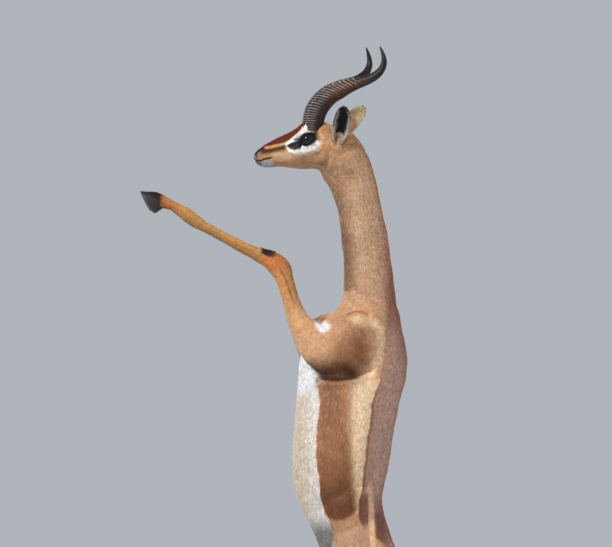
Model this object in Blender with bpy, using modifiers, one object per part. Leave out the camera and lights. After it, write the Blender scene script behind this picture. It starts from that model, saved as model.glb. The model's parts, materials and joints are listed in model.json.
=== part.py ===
"""A standing adult male gerenuk, life size, upright on its hind legs, on a plain base.

Metres, +Z up.  The animal faces -X, its left side is toward -Y, and the origin is
the middle of the base's underside.  The outline is that of the coat's outer surface.
"""
import math

import bmesh
import bpy
import numpy as np
from mathutils import Matrix, Vector

# ---------------------------------------------------------------- driving sizes
NAME = "gerenuk"
UNIT = 0.0024                    # one unit of the side drawing, in metres
TURN = math.radians(12.0)        # the side drawing is turned this far toward the front
MID = 355.0                      # drawing column of the origin
GROUND = 945.0                   # drawing row of the standing surface
BASE_LENGTH, BASE_WIDTH, BASE_THICK = 0.60, 0.40, 0.025
BASE_EDGE = 0.003                # bevel round the base
GAP = 0.0003                     # clear gap between neighbours
CUT = 0.0005                     # width of a parting cut
VOXEL = 0.0045                   # cell of the joined flesh
FULLER = 0.0009                  # the flesh is this much fuller than its stations
FLESH_FACES = 3650               # triangles left on the flesh
EYE_RADIUS = 0.0180
EAR_WIDTH, EAR_THICK = 0.036, 0.0046
CLAW_LENGTH, CLAW_WIDTH, CLAW_HEIGHT = 0.056, 0.0160, 0.035
CLAW_HEEL = 0.58                 # height of the claw's heel, as a share of its front
CLAW_SLOPE = 0.0215              # how far the toe's front leans back over its height
CLAW_SPLIT = 0.0012              # half of the cleft between two claws
COS, SIN = math.cos(TURN), math.sin(TURN)


def at(col, row, y=0.0):
    """A point from its column and row in the turned side drawing, at side offset y."""
    return Vector((((col - MID) * UNIT + SIN * y) / COS, y,
                   (GROUND - row) * UNIT + BASE_THICK))


# ---------------------------------------------------------------- the body's stations
# trunk: row, front column, back column, half width (m), how far the back is the wider side
TRUNK = (
    (292, 345, 394, 0.046, 0.00), (302, 341, 396, 0.054, 0.00), (312, 333, 399, 0.068, 0.02),
    (322, 322, 401, 0.080, 0.05), (334, 311, 403.5, 0.088, 0.08), (347, 303, 406, 0.094, 0.10),
    (362, 299, 407.7, 0.099, 0.10), (380, 297.6, 405.8, 0.104, 0.08), (400, 296, 400, 0.109, 0.04),
    (420, 294.6, 396, 0.113, 0.00), (440, 293, 392.5, 0.115, -0.04), (460, 292, 389.8, 0.114, -0.06),
    (480, 293.4, 385.3, 0.107, -0.04), (500, 298, 382, 0.095, 0.00), (516, 305.5, 385, 0.086, 0.02),
    (532, 313, 390, 0.080, 0.05), (548, 320, 395.6, 0.078, 0.05), (566, 328, 402, 0.076, 0.05),
    (586, 338, 407.5, 0.070, 0.05), (604, 352, 409, 0.056, 0.05), (618, 368, 404, 0.034, 0.0))
# neck: column, row, half depth (units), half width (m)
NECK = (
    (336.5, 149.5, 24.0, 0.036), (342.0, 160.0, 25.2, 0.0415), (348.2, 172.0, 24.8, 0.0430),
    (354.2, 187.6, 23.2, 0.0430), (358.4, 203, 21.9, 0.0425), (361.7, 220, 22.3, 0.0430),
    (364.8, 240, 23.5, 0.0445), (367.1, 260, 23.9, 0.0465), (368.8, 280, 25.0, 0.0505),
    (369.2, 300, 27.2, 0.0560), (367.5, 322, 31.8, 0.066), (364, 345, 34, 0.070))
# head: column, top row, bottom row, half width (m), how far the top is the wider side
HEAD = (
    (254.3, 154.8, 160.8, 0.0090, 0.0), (256.2, 151.8, 163.0, 0.0140, 0.0),
    (259.5, 148.8, 165.2, 0.0175, 0.0), (264, 145.6, 167.2, 0.0192, -0.02),
    (270, 142.2, 167.3, 0.0192, -0.03), (277, 138.4, 166.7, 0.0202, 0.02),
    (284, 135.2, 167.0, 0.0225, 0.10), (291, 131.9, 168.0, 0.0270, 0.18),
    (297, 128.2, 168.7, 0.0325, 0.24), (303, 124.2, 169.0, 0.0375, 0.28),
    (309, 122.0, 168.8, 0.0405, 0.28), (316, 121.6, 169.2, 0.0410, 0.24),
    (323, 122.2, 171.0, 0.0405, 0.18), (330, 124.6, 172.5, 0.0400, 0.10),
    (338, 127.8, 173.0, 0.0390, 0.04), (346, 130.2, 169.0, 0.0345, 0.0),
    (352, 133.0, 160.0, 0.0260, 0.0), (356.5, 138.5, 151.0, 0.0130, 0.0))
# foreleg from the elbow to past the coronet: column, row, y, half depth (units), half width
FORELEG = (
    (360, 357, -0.080, 14, 0.022), (350, 357.5, -0.084, 19.5, 0.028), (340, 355.8, -0.087, 22.5, 0.032),
    (328.5, 351.2, -0.087, 23.6, 0.033), (318, 344.6, -0.084, 21.0, 0.0315),
    (310, 336, -0.080, 16.6, 0.0290), (303.6, 327.6, -0.077, 13.0, 0.0260),
    (298, 318.5, -0.074, 10.7, 0.0235), (293, 306, -0.071, 9.0, 0.0205), (288.4, 292, -0.068, 8.3, 0.0187),
    (284.6, 279.5, -0.065, 8.6, 0.0190), (280.2, 269.5, -0.063, 10.4, 0.0205),
    (274.4, 262.6, -0.062, 10.2, 0.0205), (266, 258, -0.060, 8.0, 0.0175), (256, 253.4, -0.058, 6.4, 0.0140),
    (244, 247.6, -0.056, 5.5, 0.0122), (230, 240.1, -0.054, 5.0, 0.0115), (216, 232.5, -0.052, 4.7, 0.0113),
    (203, 225.5, -0.050, 5.0, 0.0120), (194, 220.0, -0.049, 6.2, 0.0137), (187, 215.0, -0.048, 6.8, 0.0148),
    (180, 210.6, -0.047, 5.6, 0.0130), (172.5, 206.0, -0.047, 4.8, 0.0123), (165, 202.6, -0.046, 5.4, 0.0140),
    (158.5, 200.2, -0.046, 6.5, 0.0165), (150, 198.2, -0.046, 6.6, 0.0165))
ELBOW_CUT, CARPUS_CUT, FETLOCK_CUT = 7, 11, 19        # station numbers of the foreleg's cuts
# shoulder: column, row, y and the radii along X, Y and Z
SHOULDER = (351.5, 344.5, -0.070, 0.0800, 0.0470, 0.0800)
RIGHT_POINT = (329.0, 331.0, 0.066, 0.046, 0.036, 0.046)     # point of the right shoulder
FORE_PITCH = 62.0                # the fore claws are turned up this far from standing
# hind leg from the loin to past the coronet
HINDLEG = (
    (370, 503, -0.028, 8, 0.022), (364, 530, -0.048, 24, 0.038), (363.5, 556, -0.058, 34, 0.045),
    (365, 582, -0.062, 38.8, 0.050), (364.5, 610, -0.067, 40.0, 0.051), (360, 638, -0.071, 37.5, 0.047),
    (354.5, 665, -0.074, 32.5, 0.041), (351, 690, -0.076, 27.0, 0.0355), (352.5, 715, -0.077, 22.0, 0.030),
    (358.5, 740, -0.077, 17.8, 0.026), (367.5, 765, -0.077, 14.2, 0.0220), (377, 785, -0.077, 12.4, 0.0192),
    (384, 800, -0.077, 13.0, 0.0205), (385.4, 816, -0.077, 11.2, 0.0190), (382.8, 833, -0.077, 8.4, 0.0147),
    (379.6, 858, -0.077, 7.1, 0.0125), (377.4, 884, -0.077, 7.1, 0.0132), (375.6, 902, -0.077, 8.8, 0.0157),
    (371, 914, -0.077, 7.2, 0.0142), (366.6, 923.5, -0.077, 7.6, 0.0155), (362.6, 932.5, -0.077, 8.8, 0.0172),
    (359, 941, -0.077, 8.8, 0.0170))
STIFLE_CUT, HOCK_CUT, HIND_FETLOCK_CUT = 8, 12, 16    # station numbers of the hind leg's cuts
GROIN_COL, GROIN_ROW = 349, 640                  # row where the two cuts that part the thighs meet
# tail: column, row, radius (units)
TAIL = ((398, 584, 7.5), (407, 590, 7.0), (415, 598.5, 5.8), (419.5, 611, 4.8), (420.5, 628, 4.0),
        (419.5, 650, 3.6), (417.0, 672, 3.7), (414.5, 692, 4.8), (412.5, 708, 5.0), (411.5, 721, 3.8),
        (411, 731, 2.0))
# horn: column, row, y, half depth (units), half width (m)
HORN = (
    (313.8, 131, -0.0200, 8.6, 0.0175), (314.6, 124, -0.0205, 9.0, 0.0180),
    (315.9, 117, -0.0210, 9.3, 0.0182), (318.9, 109.0, -0.0220, 9.5, 0.0182),
    (324.8, 100.9, -0.0240, 9.3, 0.0182), (331.6, 95.0, -0.0275, 8.8, 0.0176),
    (339.3, 91.0, -0.0335, 8.3, 0.0167), (348.9, 86.5, -0.0430, 7.0, 0.0148),
    (358.2, 83.3, -0.0545, 5.8, 0.0128), (369.0, 79.5, -0.0675, 4.8, 0.0106),
    (377.2, 74.6, -0.0760, 4.2, 0.0094), (381.6, 69.4, -0.0795, 3.6, 0.0082),
    (383.7, 63.6, -0.0812, 3.1, 0.0071), (383.5, 57.6, -0.0815, 2.4, 0.0056),
    (381.8, 51.8, -0.0795, 1.6, 0.0038), (379.7, 47.0, -0.0765, 0.7, 0.0017))


# ---------------------------------------------------------------- small tools
def fresh_collection(name):
    old = bpy.data.collections.get(name)
    if old:
        bpy.data.collections.remove(old)
    made = bpy.data.collections.new(name)
    bpy.context.scene.collection.children.link(made)
    return made


def spline(rows, per):
    """Catmull-Rom rows between the given rows, per spans each."""
    pts = np.array(rows, float)
    ext = np.vstack([2 * pts[0] - pts[1], pts, 2 * pts[-1] - pts[-2]])
    out = []
    for i in range(1, len(ext) - 2):
        a, b, c, d = ext[i - 1:i + 3]
        for k in range(per):
            t = k / per
            out.append(0.5 * (2 * b + (c - a) * t + (2 * a - 5 * b + 4 * c - d) * t * t
                              + (3 * b - a - 3 * c + d) * t ** 3))
    out.append(pts[-1])
    return np.array(out)


def loft(name, rings):
    """A closed tube through rings of points, capped at both ends."""
    bm = bmesh.new()
    loops = [[bm.verts.new(p) for p in ring] for ring in rings]
    n = len(loops[0])
    for lo, hi in zip(loops, loops[1:]):
        for j in range(n):
            bm.faces.new((lo[j], lo[(j + 1) % n], hi[(j + 1) % n], hi[j]))
    bm.faces.new(loops[0][::-1])
    bm.faces.new(loops[-1])
    bmesh.ops.recalc_face_normals(bm, faces=bm.faces)
    mesh = bpy.data.meshes.new(name)
    bm.to_mesh(mesh)
    bm.free()
    return bpy.data.objects.new(name, mesh)


def oval(centre, u, v, ru, rv, widen=0.0, n=28, power=1.0):
    """An oval ring: ru along u, rv along v, wider on the +u side by widen."""
    pts = []
    for j in range(n):
        a = 2 * math.pi * j / n
        cu, sv = math.cos(a), math.sin(a)
        cu = math.copysign(abs(cu) ** power, cu)
        sv = math.copysign(abs(sv) ** power, sv)
        pts.append(Vector(centre) + Vector(u) * (ru * cu) + Vector(v) * (rv * sv * (1 + widen * cu)))
    return pts


def limb_rings(path, per=3, n=20):
    """Rings across a bent path of rows (x, y, z, half depth, half width)."""
    rows = spline(path, per)
    rings = []
    for i, r in enumerate(rows):
        t = Vector(rows[min(i + 1, len(rows) - 1)][:3] - rows[max(i - 1, 0)][:3]).normalized()
        u = Vector((t.z, 0.0, -t.x)).normalized()
        v = t.cross(u).normalized()
        rings.append(oval(r[:3], u, v, max(r[3], 0.0004), max(r[4], 0.0004), n=n, power=0.92))
    return rings


def leg_path(stations):
    return [tuple(at(c, r, y)) + (d * UNIT, w) for c, r, y, d, w in stations]


def far_side(path, swing):
    """The right-hand leg: the left one mirrored, moved along X and Z by swing(share)."""
    out = []
    for i, (x, y, z, d, w) in enumerate(path):
        dx, dz = swing(i / (len(path) - 1))
        out.append((x + dx, -y, z + dz, d, w))
    return out


def ease(t, lo, hi):
    t = min(1.0, max(0.0, (t - lo) / (hi - lo)))
    return t * t * (3 - 2 * t)


def fore_swing(t):
    return 0.030 * ease(t, 0.0, 0.14) - 0.004 * ease(t, 0.45, 0.7), -0.004 * ease(t, 0.2, 0.6)


def hind_swing(t):
    return 0.040 * ease(t, 0.15, 0.95) - 0.008 * ease(t, 0.1, 0.5), 0.0


def ball(name, centre, radii, turn=0.0, segments=20):
    bm = bmesh.new()
    bmesh.ops.create_uvsphere(bm, u_segments=segments, v_segments=segments // 2 + 2, radius=1.0)
    place = (Matrix.Translation(centre) @ Matrix.Rotation(turn, 4, "Y")
             @ Matrix.Diagonal((radii[0], radii[1], radii[2], 1.0)))
    bmesh.ops.transform(bm, matrix=place, verts=bm.verts)
    mesh = bpy.data.meshes.new(name)
    bm.to_mesh(mesh)
    bm.free()
    return bpy.data.objects.new(name, mesh)


# ---------------------------------------------------------------- the flesh
def trunk_rings():
    rings = []
    for row, front, back, width, widen in spline(TRUNK, 3):
        mid, half = (front + back) / 2, (back - front) / 2 * UNIT
        rings.append(oval(at(mid, row), (1, 0, 0), (0, 1, 0), half, width, widen, 36, 0.93))
    return rings


def neck_rings():
    path = []
    for col, row, depth, width in NECK:
        path.append(tuple(at(col, row)) + (depth * UNIT, width))
    return limb_rings(path, 3, 28)


def head_rings():
    rings = []
    for col, top, bottom, width, widen in spline(HEAD, 3):
        mid, half = at(col, (top + bottom) / 2), (bottom - top) / 2 * UNIT
        rings.append(oval(mid, (0, 0, 1), (0, 1, 0), half, max(width, 0.002), widen, 28, 0.9))
    return rings


def tail_rings():
    return limb_rings([tuple(at(c, r)) + (d * UNIT, d * UNIT) for c, r, d in TAIL], 3, 14)


def eye_centre(side):
    pole = at(308.0, 139.6, -0.0478)
    return Vector((pole.x + 0.0025, side * (abs(pole.y) - EYE_RADIUS), pole.z))


def flesh_parts():
    left_fore, left_hind = leg_path(FORELEG), leg_path(HINDLEG)
    parts = [loft("f_trunk", trunk_rings()), loft("f_neck", neck_rings()),
             loft("f_head", head_rings()), loft("f_tail", tail_rings()),
             loft("f_fore_l", limb_rings(left_fore)), loft("f_hind_l", limb_rings(left_hind)),
             loft("f_fore_r", limb_rings(far_side(left_fore, fore_swing))),
             loft("f_hind_r", limb_rings(far_side(left_hind, hind_swing)))]
    col, row, y, rx, ry, rz = RIGHT_POINT
    parts.append(ball("f_point", at(col, row, y), (rx, ry, rz), 0.0, 24))
    for side in (-1, 1):
        eye = eye_centre(side)
        parts.append(ball("f_orbit", eye + Vector((0.0, -side * 0.0045, 0.001)), (0.0270, 0.0185, 0.0225), 0.25))
        col, row, y, rx, ry, rz = SHOULDER
        blade = at(col, row, y)
        parts.append(ball("f_shoulder", Vector((blade.x, -side * blade.y, blade.z)), (rx, ry, rz), 0.0, 28))
        cheek = at(314, 156, 0.0)
        parts.append(ball("f_cheek", Vector((cheek.x, side * 0.0170, cheek.z)), (0.034, 0.0165, 0.026), 0.2))
        ear = ear_base(side)
        parts.append(ball("f_earbase", Vector((ear.x + 0.001, side * 0.0290, ear.z - 0.006)), (0.0165, 0.0150, 0.0175)))
    return parts


# ---------------------------------------------------------------- ears
def ear_base(side):
    near = at(339.0, 140.5, -0.0400)
    return Vector((near.x, side * 0.0400, near.z))


def ear_frame(side):
    """Base, tip and the direction that the cup opens toward."""
    base = ear_base(side)
    if side < 0:
        tip = at(344.6, 107.6, -0.1290)
        facing = Vector((-0.42, -0.80, -0.42))
    else:
        tip = at(364.3, 107.2, 0.0660)
        facing = Vector((0.18, 0.95, -0.10))
    return base, tip, facing


def ear_width(s):
    """Relative width of the ear at a share of its length: broad, with a rounded tip."""
    if s < 0.5:
        return 0.60 + 0.62 * math.sin(math.pi * s)
    return 1.22 * math.sqrt(1 - ((s - 0.5) / 0.518) ** 2)


def ear_grid(side, nu=8, nv=7, inset=0.0):
    base, tip, facing = ear_frame(side)
    axis = (tip - base).normalized()
    length = (tip - base).length - inset
    facing = (facing - axis * facing.dot(axis)).normalized()
    across = axis.cross(facing).normalized()
    grid = []
    for i in range(nu + 1):
        s = i / nu
        half = (EAR_WIDTH / 2 - inset) * ear_width(s)
        bend = math.radians(132 - 84 * min(1.0, s / 0.75))
        radius = half / math.sin(min(bend, math.pi / 2))
        # curl of the whole ear: the tip leans gently toward the opening
        spine = base + axis * (length * s) + facing * (0.010 * math.sin(math.pi * s) * -1 + 0.004 * s)
        row = []
        for j in range(nv + 1):
            a = bend * (2 * j / nv - 1)
            row.append(spine + across * (radius * math.sin(a)) + facing * (radius * (1 - math.cos(a)) - 0.006))
        grid.append(row)
    return grid


def ear(name, side):
    grid = ear_grid(side)
    bm = bmesh.new()
    verts = [[bm.verts.new(p) for p in row] for row in grid]
    for lo, hi in zip(verts, verts[1:]):
        for a, b, c, d in zip(lo, lo[1:], hi[1:], hi):
            bm.faces.new((a, b, c, d))
    bmesh.ops.recalc_face_normals(bm, faces=bm.faces)
    mesh = bpy.data.meshes.new(name)
    bm.to_mesh(mesh)
    bm.free()
    made = bpy.data.objects.new(name, mesh)
    shell = made.modifiers.new("thickness", "SOLIDIFY")
    shell.thickness = EAR_THICK
    shell.offset = 0.0
    shell.use_even_offset = True
    return made


# ---------------------------------------------------------------- horns and claws
def horn(name, side, n=9, per=2):
    """A tapered horn, swept back and then up at the tip."""
    path = [tuple(at(c, r, y)) + (d * UNIT, w) for c, r, y, d, w in HORN]
    path = [(x, -side * y, z, d, w) for x, y, z, d, w in path]
    return loft(name, limb_rings(path, per, n))


def claw_top():
    """Middle and normal of the slanted top of a foot's claws, seen from its origin."""
    front, heel = CLAW_SLOPE - CLAW_LENGTH * 0.76, CLAW_LENGTH * 0.24
    fall = CLAW_HEIGHT * (1 - CLAW_HEEL) / (CLAW_LENGTH - CLAW_SLOPE)
    mid = (front + heel) / 2
    return (Vector((mid, 0, CLAW_HEIGHT - fall * (mid - front))), Vector((fall, 0, 1)).normalized())


def claw(name, origin, side, pitch):
    """One claw of a cloven hoof: flat sole, upright inner wall, pointed toe toward -X.

    origin is the middle of the cleft at the heel end of the coronet; side is +1 or -1 for
    the claw's own side of the cleft; pitch turns it about Y.
    """
    rings = []
    levels = ((0.0, 0.0, 1.0), (0.25, 0.006, 1.0), (0.6, 0.0130, 0.97), (1.0, CLAW_SLOPE, 0.90))
    front = CLAW_SLOPE - CLAW_LENGTH * 0.76
    fall = CLAW_HEIGHT * (1 - CLAW_HEEL) / (CLAW_LENGTH - CLAW_SLOPE)
    for up, back, fat in levels:
        toe = -CLAW_LENGTH * 0.76 + back
        heel = CLAW_LENGTH * 0.24 - back * 0.10
        ring = []
        for j in range(7):          # outer wall from heel to toe
            a = j / 6
            x = heel + (toe - heel) * a
            bow = math.sin(math.pi * min(1.0, a * 0.72 + 0.20)) ** 0.8
            if j == 6:
                bow = 0.16
            ring.append((x, side * (CLAW_SPLIT + CLAW_WIDTH * fat * bow),
                         up * (CLAW_HEIGHT - fall * max(0.0, x - front))))
        for j in range(3):          # inner wall back to the heel
            a = j / 2
            x = toe + (heel - toe) * (0.02 + 0.94 * a)
            ring.append((x, side * CLAW_SPLIT, up * (CLAW_HEIGHT - fall * max(0.0, x - front))))
        rings.append(ring)
    turn = Matrix.Translation(origin) @ Matrix.Rotation(pitch, 4, "Y")
    return loft(name, [[turn @ Vector(p) for p in ring] for ring in rings])


# ---------------------------------------------------------------- building
def evaluated(obj, collection=None):
    """A plain mesh object from an object with its modifiers."""
    bpy.context.view_layer.update()
    graph = bpy.context.evaluated_depsgraph_get()
    mesh = bpy.data.meshes.new_from_object(obj.evaluated_get(graph))
    made = bpy.data.objects.new(obj.name + "_mesh", mesh)
    made.matrix_world = obj.matrix_world
    return made


def taubin(mesh, rounds, pull=0.52, push=-0.53):
    """Even out a mesh without thinning it."""
    count = len(mesh.vertices)
    co = np.empty(count * 3)
    mesh.vertices.foreach_get("co", co)
    co = co.reshape(-1, 3)
    ends = np.empty(len(mesh.edges) * 2, int)
    mesh.edges.foreach_get("vertices", ends)
    ends = ends.reshape(-1, 2)
    first = np.concatenate([ends[:, 0], ends[:, 1]])
    second = np.concatenate([ends[:, 1], ends[:, 0]])
    valence = np.bincount(first, minlength=count).clip(1)[:, None]
    for step in range(rounds * 2):
        mean = np.stack([np.bincount(first, weights=co[second, k], minlength=count) for k in range(3)], 1)
        co = co + (pull if step % 2 == 0 else push) * (mean / valence - co)
    mesh.vertices.foreach_set("co", co.ravel())
    mesh.update()


def blend_shoulder(mesh, rounds):
    """Soften the step where the shoulder blade meets neck and trunk, above its lower fold."""
    count = len(mesh.vertices)
    co = np.empty(count * 3)
    mesh.vertices.foreach_get("co", co)
    co = co.reshape(-1, 3)
    ends = np.empty(len(mesh.edges) * 2, int)
    mesh.edges.foreach_get("vertices", ends)
    ends = ends.reshape(-1, 2)
    first = np.concatenate([ends[:, 0], ends[:, 1]])
    second = np.concatenate([ends[:, 1], ends[:, 0]])
    valence = np.bincount(first, minlength=count).clip(1)[:, None]
    col = MID + (COS * co[:, 0] + SIN * np.abs(co[:, 1])) / UNIT
    row = GROUND - (co[:, 2] - BASE_THICK) / UNIT

    def rise(x, lo, hi):
        t = np.clip((x - lo) / (hi - lo), 0, 1)
        return t * t * (3 - 2 * t)
    weight = (rise(np.abs(co[:, 1]), 0.040, 0.062) * rise(row, 286, 300) * rise(row, 376, 366)
              * rise(col, 322, 336))[:, None] * 0.5
    for _ in range(rounds):
        mean = np.stack([np.bincount(first, weights=co[second, k], minlength=count) for k in range(3)], 1)
        co = co + weight * (mean / valence - co)
    mesh.vertices.foreach_set("co", co.ravel())
    mesh.update()


def inflate(obj, by):
    """A copy whose surface is moved out along its normals."""
    copy = evaluated(obj)
    bm = bmesh.new()
    bm.from_mesh(copy.data)
    bmesh.ops.recalc_face_normals(bm, faces=bm.faces)
    bm.normal_update()
    moves = [v.normal.copy() * by for v in bm.verts]
    for v, m in zip(bm.verts, moves):
        v.co += m
    bm.to_mesh(copy.data)
    bm.free()
    return copy


def slab(name, centre, normal, half, thick=CUT, along=(1, 0, 0)):
    """A thin cutting plate: half is its half size along `along` and across it."""
    bm = bmesh.new()
    bmesh.ops.create_cube(bm, size=1.0)
    z = Vector(normal).normalized()
    x = (Vector(along) - z * Vector(along).dot(z)).normalized()
    y = z.cross(x)
    rot = Matrix((x, y, z)).transposed().to_4x4()
    bmesh.ops.transform(bm, matrix=Matrix.Translation(centre) @ rot
                        @ Matrix.Diagonal((2 * half[0], 2 * half[1], thick, 1.0)), verts=bm.verts)
    mesh = bpy.data.meshes.new(name)
    bm.to_mesh(mesh)
    bm.free()
    return bpy.data.objects.new(name, mesh)


def subtract(body, cutters, holder):
    for cutter in cutters:
        holder.objects.link(cutter)
        cutter.hide_render = True
        cutter.display_type = "WIRE"
        step = body.modifiers.new("cut", "BOOLEAN")
        step.operation = "DIFFERENCE"
        step.solver = "EXACT"
        step.object = cutter
    result = evaluated(body)
    return result


def material(name, colour, rough, metal=0.0):
    made = bpy.data.materials.new(name)
    made.use_nodes = True
    shader = made.node_tree.nodes["Principled BSDF"]
    shader.inputs["Base Color"].default_value = (*colour, 1.0)
    shader.inputs["Roughness"].default_value = rough
    shader.inputs["Metallic"].default_value = metal
    made.diffuse_color = (*colour, 1.0)
    return made


def islands(obj):
    """The separate closed bodies of a mesh, each as (mesh, centre, volume)."""
    bm = bmesh.new()
    bm.from_mesh(obj.data)
    bmesh.ops.triangulate(bm, faces=bm.faces)
    bm.verts.ensure_lookup_table()
    seen, groups = set(), []
    for start in bm.verts:
        if start.index in seen:
            continue
        stack, group = [start], []
        seen.add(start.index)
        while stack:
            v = stack.pop()
            group.append(v.index)
            for e in v.link_edges:
                w = e.other_vert(v)
                if w.index not in seen:
                    seen.add(w.index)
                    stack.append(w)
        groups.append(group)
    out = []
    for group in groups:
        keep = set(group)
        order = {old: new for new, old in enumerate(sorted(keep))}
        coords = [bm.verts[i].co.copy() for i in sorted(keep)]
        faces = [[order[v.index] for v in f.verts] for f in bm.faces if f.verts[0].index in keep]
        mesh = bpy.data.meshes.new("island")
        mesh.from_pydata(coords, [], faces)
        mesh.update()
        piece = bmesh.new()
        piece.from_mesh(mesh)
        volume = piece.calc_volume(signed=True)
        piece.free()
        centre = sum(coords, Vector()) / len(coords)
        out.append((mesh, centre, volume))
    bm.free()
    return out


def main():
    for obj in list(bpy.data.objects):
        bpy.data.objects.remove(obj, do_unlink=True)
    parts = fresh_collection(NAME)
    cutters = fresh_collection(NAME + "_cutters")
    work = fresh_collection(NAME + "_work")

    colours = {
        "coat_tan": material("coat_tan", (0.50, 0.27, 0.14), 0.85),
        "coat_neck": material("coat_neck", (0.54, 0.32, 0.18), 0.85),
        "coat_flank": material("coat_flank", (0.33, 0.15, 0.07), 0.85),
        "coat_saddle": material("coat_saddle", (0.20, 0.08, 0.06), 0.85),
        "coat_leg": material("coat_leg", (0.58, 0.25, 0.08), 0.85),
        "coat_ear": material("coat_ear", (0.55, 0.36, 0.20), 0.85),
        "horn": material("horn", (0.06, 0.04, 0.03), 0.45),
        "hoof": material("hoof", (0.02, 0.016, 0.014), 0.4),
        "eye": material("eye", (0.01, 0.006, 0.004), 0.08),
        "base": material("base", (0.42, 0.40, 0.37), 0.7)}

    # the flesh as one body
    flesh_objects = flesh_parts()
    bm = bmesh.new()
    for obj in flesh_objects:
        bm.from_mesh(obj.data)
        bpy.data.objects.remove(obj)
    whole = bpy.data.meshes.new("whole")
    bm.to_mesh(whole)
    bm.free()
    body = bpy.data.objects.new("whole", whole)
    work.objects.link(body)
    grid = body.modifiers.new("join", "REMESH")
    grid.mode = "VOXEL"
    grid.voxel_size = VOXEL
    joined = evaluated(body)
    bpy.data.objects.remove(body)
    taubin(joined.data, 9)
    blend_shoulder(joined.data, 44)
    body_mesh = bmesh.new()
    body_mesh.from_mesh(joined.data)
    body_mesh.normal_update()
    for v in body_mesh.verts:
        v.co += v.normal * FULLER
    body_mesh.to_mesh(joined.data)
    body_mesh.free()
    work.objects.link(joined)
    reduce = joined.modifiers.new("reduce", "DECIMATE")
    reduce.ratio = min(1.0, FLESH_FACES / (2.0 * len(joined.data.polygons)))
    reduce.use_collapse_triangulate = True
    body = evaluated(joined)
    bpy.data.objects.remove(joined)
    work.objects.link(body)

    # what stays separate: eyes, horns, ears, claws, base
    keep = []

    def add(obj, colour):
        parts.objects.link(obj)
        obj.data.materials.clear()
        obj.data.materials.append(colours[colour])
        keep.append(obj)
        return obj

    holes = []
    for side, tag in ((-1, "left"), (1, "right")):
        eye = add(ball("eye_" + tag, eye_centre(side), (EYE_RADIUS,) * 3, 0.0, 12), "eye")
        horn_obj = add(horn("horn_" + tag, side), "horn")
        ear_obj = add(ear("ear_" + tag, side), "coat_ear")
        for obj, by in ((eye, GAP + 0.0001), (horn_obj, GAP + 0.0001), (ear_obj, GAP + 0.0002)):
            holes.append(inflate(obj, by))
    base = at(MID, GROUND)
    bm = bmesh.new()
    bmesh.ops.create_cube(bm, size=1.0)
    bmesh.ops.transform(bm, matrix=Matrix.Translation((0, 0, BASE_THICK / 2))
                        @ Matrix.Diagonal((BASE_LENGTH, BASE_WIDTH, BASE_THICK, 1.0)), verts=bm.verts)
    plate = bpy.data.meshes.new("stand_base")
    bm.to_mesh(plate)
    bm.free()
    stand = add(bpy.data.objects.new("stand_base", plate), "base")
    edge = stand.modifiers.new("edge", "BEVEL")
    edge.width = BASE_EDGE
    edge.segments = 2
    edge.limit_method = "ANGLE"

    legs = {"fore_left": leg_path(FORELEG), "hind_left": leg_path(HINDLEG)}
    legs["fore_right"] = far_side(legs["fore_left"], fore_swing)
    legs["hind_right"] = far_side(legs["hind_left"], hind_swing)
    feet = []
    for leg, path in legs.items():
        coronet = Vector(path[-2][:3])
        pitch = 0.0 if leg.startswith("hind") else math.radians(FORE_PITCH)
        spin = Matrix.Rotation(pitch, 3, "Y")
        middle, normal = claw_top()
        origin = coronet - spin @ middle
        if leg.startswith("hind"):
            origin.z = BASE_THICK + GAP
        for side, tag in ((-1, "outer" if "left" in leg else "inner"),
                          (1, "inner" if "left" in leg else "outer")):
            add(claw("claw_%s_%s" % (leg, tag), origin, side, pitch), "hoof")
        # the flesh ends on the slanted top of the two claws
        top = origin + spin @ (middle + normal * GAP)
        up = spin @ normal
        feet.append(slab("foot_end", top - up * 0.025, up, (0.045, 0.035), 0.050))

    # parting cuts
    def path_cut(path, station, half):
        rows = spline(path, 4)
        i = station * 4
        t = Vector(rows[i + 1][:3] - rows[i - 1][:3]).normalized()
        return slab("cut", Vector(rows[i][:3]), t, half, along=(t.z, 0, -t.x))

    cuts = feet
    for tag in ("left", "right"):
        fore, hind = legs["fore_" + tag], legs["hind_" + tag]
        cuts.append(path_cut(fore, ELBOW_CUT, (0.032, 0.033)))
        cuts.append(path_cut(fore, CARPUS_CUT, (0.038, 0.030)))
        cuts.append(path_cut(fore, FETLOCK_CUT, (0.025, 0.024)))
        cuts.append(path_cut(hind, STIFLE_CUT, (0.070, 0.045)))
        cuts.append(path_cut(hind, HOCK_CUT, (0.045, 0.035)))
        cuts.append(path_cut(hind, HIND_FETLOCK_CUT, (0.030, 0.030)))
        side = -1 if tag == "left" else 1
        lean = math.radians(50)
        down = Vector((0, side * math.cos(lean), math.sin(lean)))
        apex = at(GROIN_COL, GROIN_ROW)
        cuts.append(slab("cut", apex + down * 0.1105, (0, -side * math.sin(lean), math.cos(lean)),
                         (0.145, 0.110)))
    cuts.append(slab("cut", at(333, 152), at(340.5, 162) - at(333, 151), (0.075, 0.08)))
    cuts.append(slab("cut", at(363, 232), at(364.7, 240) - at(361.6, 220), (0.09, 0.08)))
    cuts.append(slab("cut", at(369, 303), (0, 0, 1), (0.10, 0.10)))
    cuts.append(slab("cut", at(345, 428), (0, 0, 1), (0.20, 0.16)))
    cuts.append(slab("cut", at(345, 500), (0, 0, 1), (0.16, 0.14)))
    cuts.append(slab("cut", at(419.2, 610), at(420.5, 619) - at(417.5, 604), (0.0165, 0.030)))
    parted = subtract(body, holes + cuts, cutters)
    bpy.data.objects.remove(body)

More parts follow.
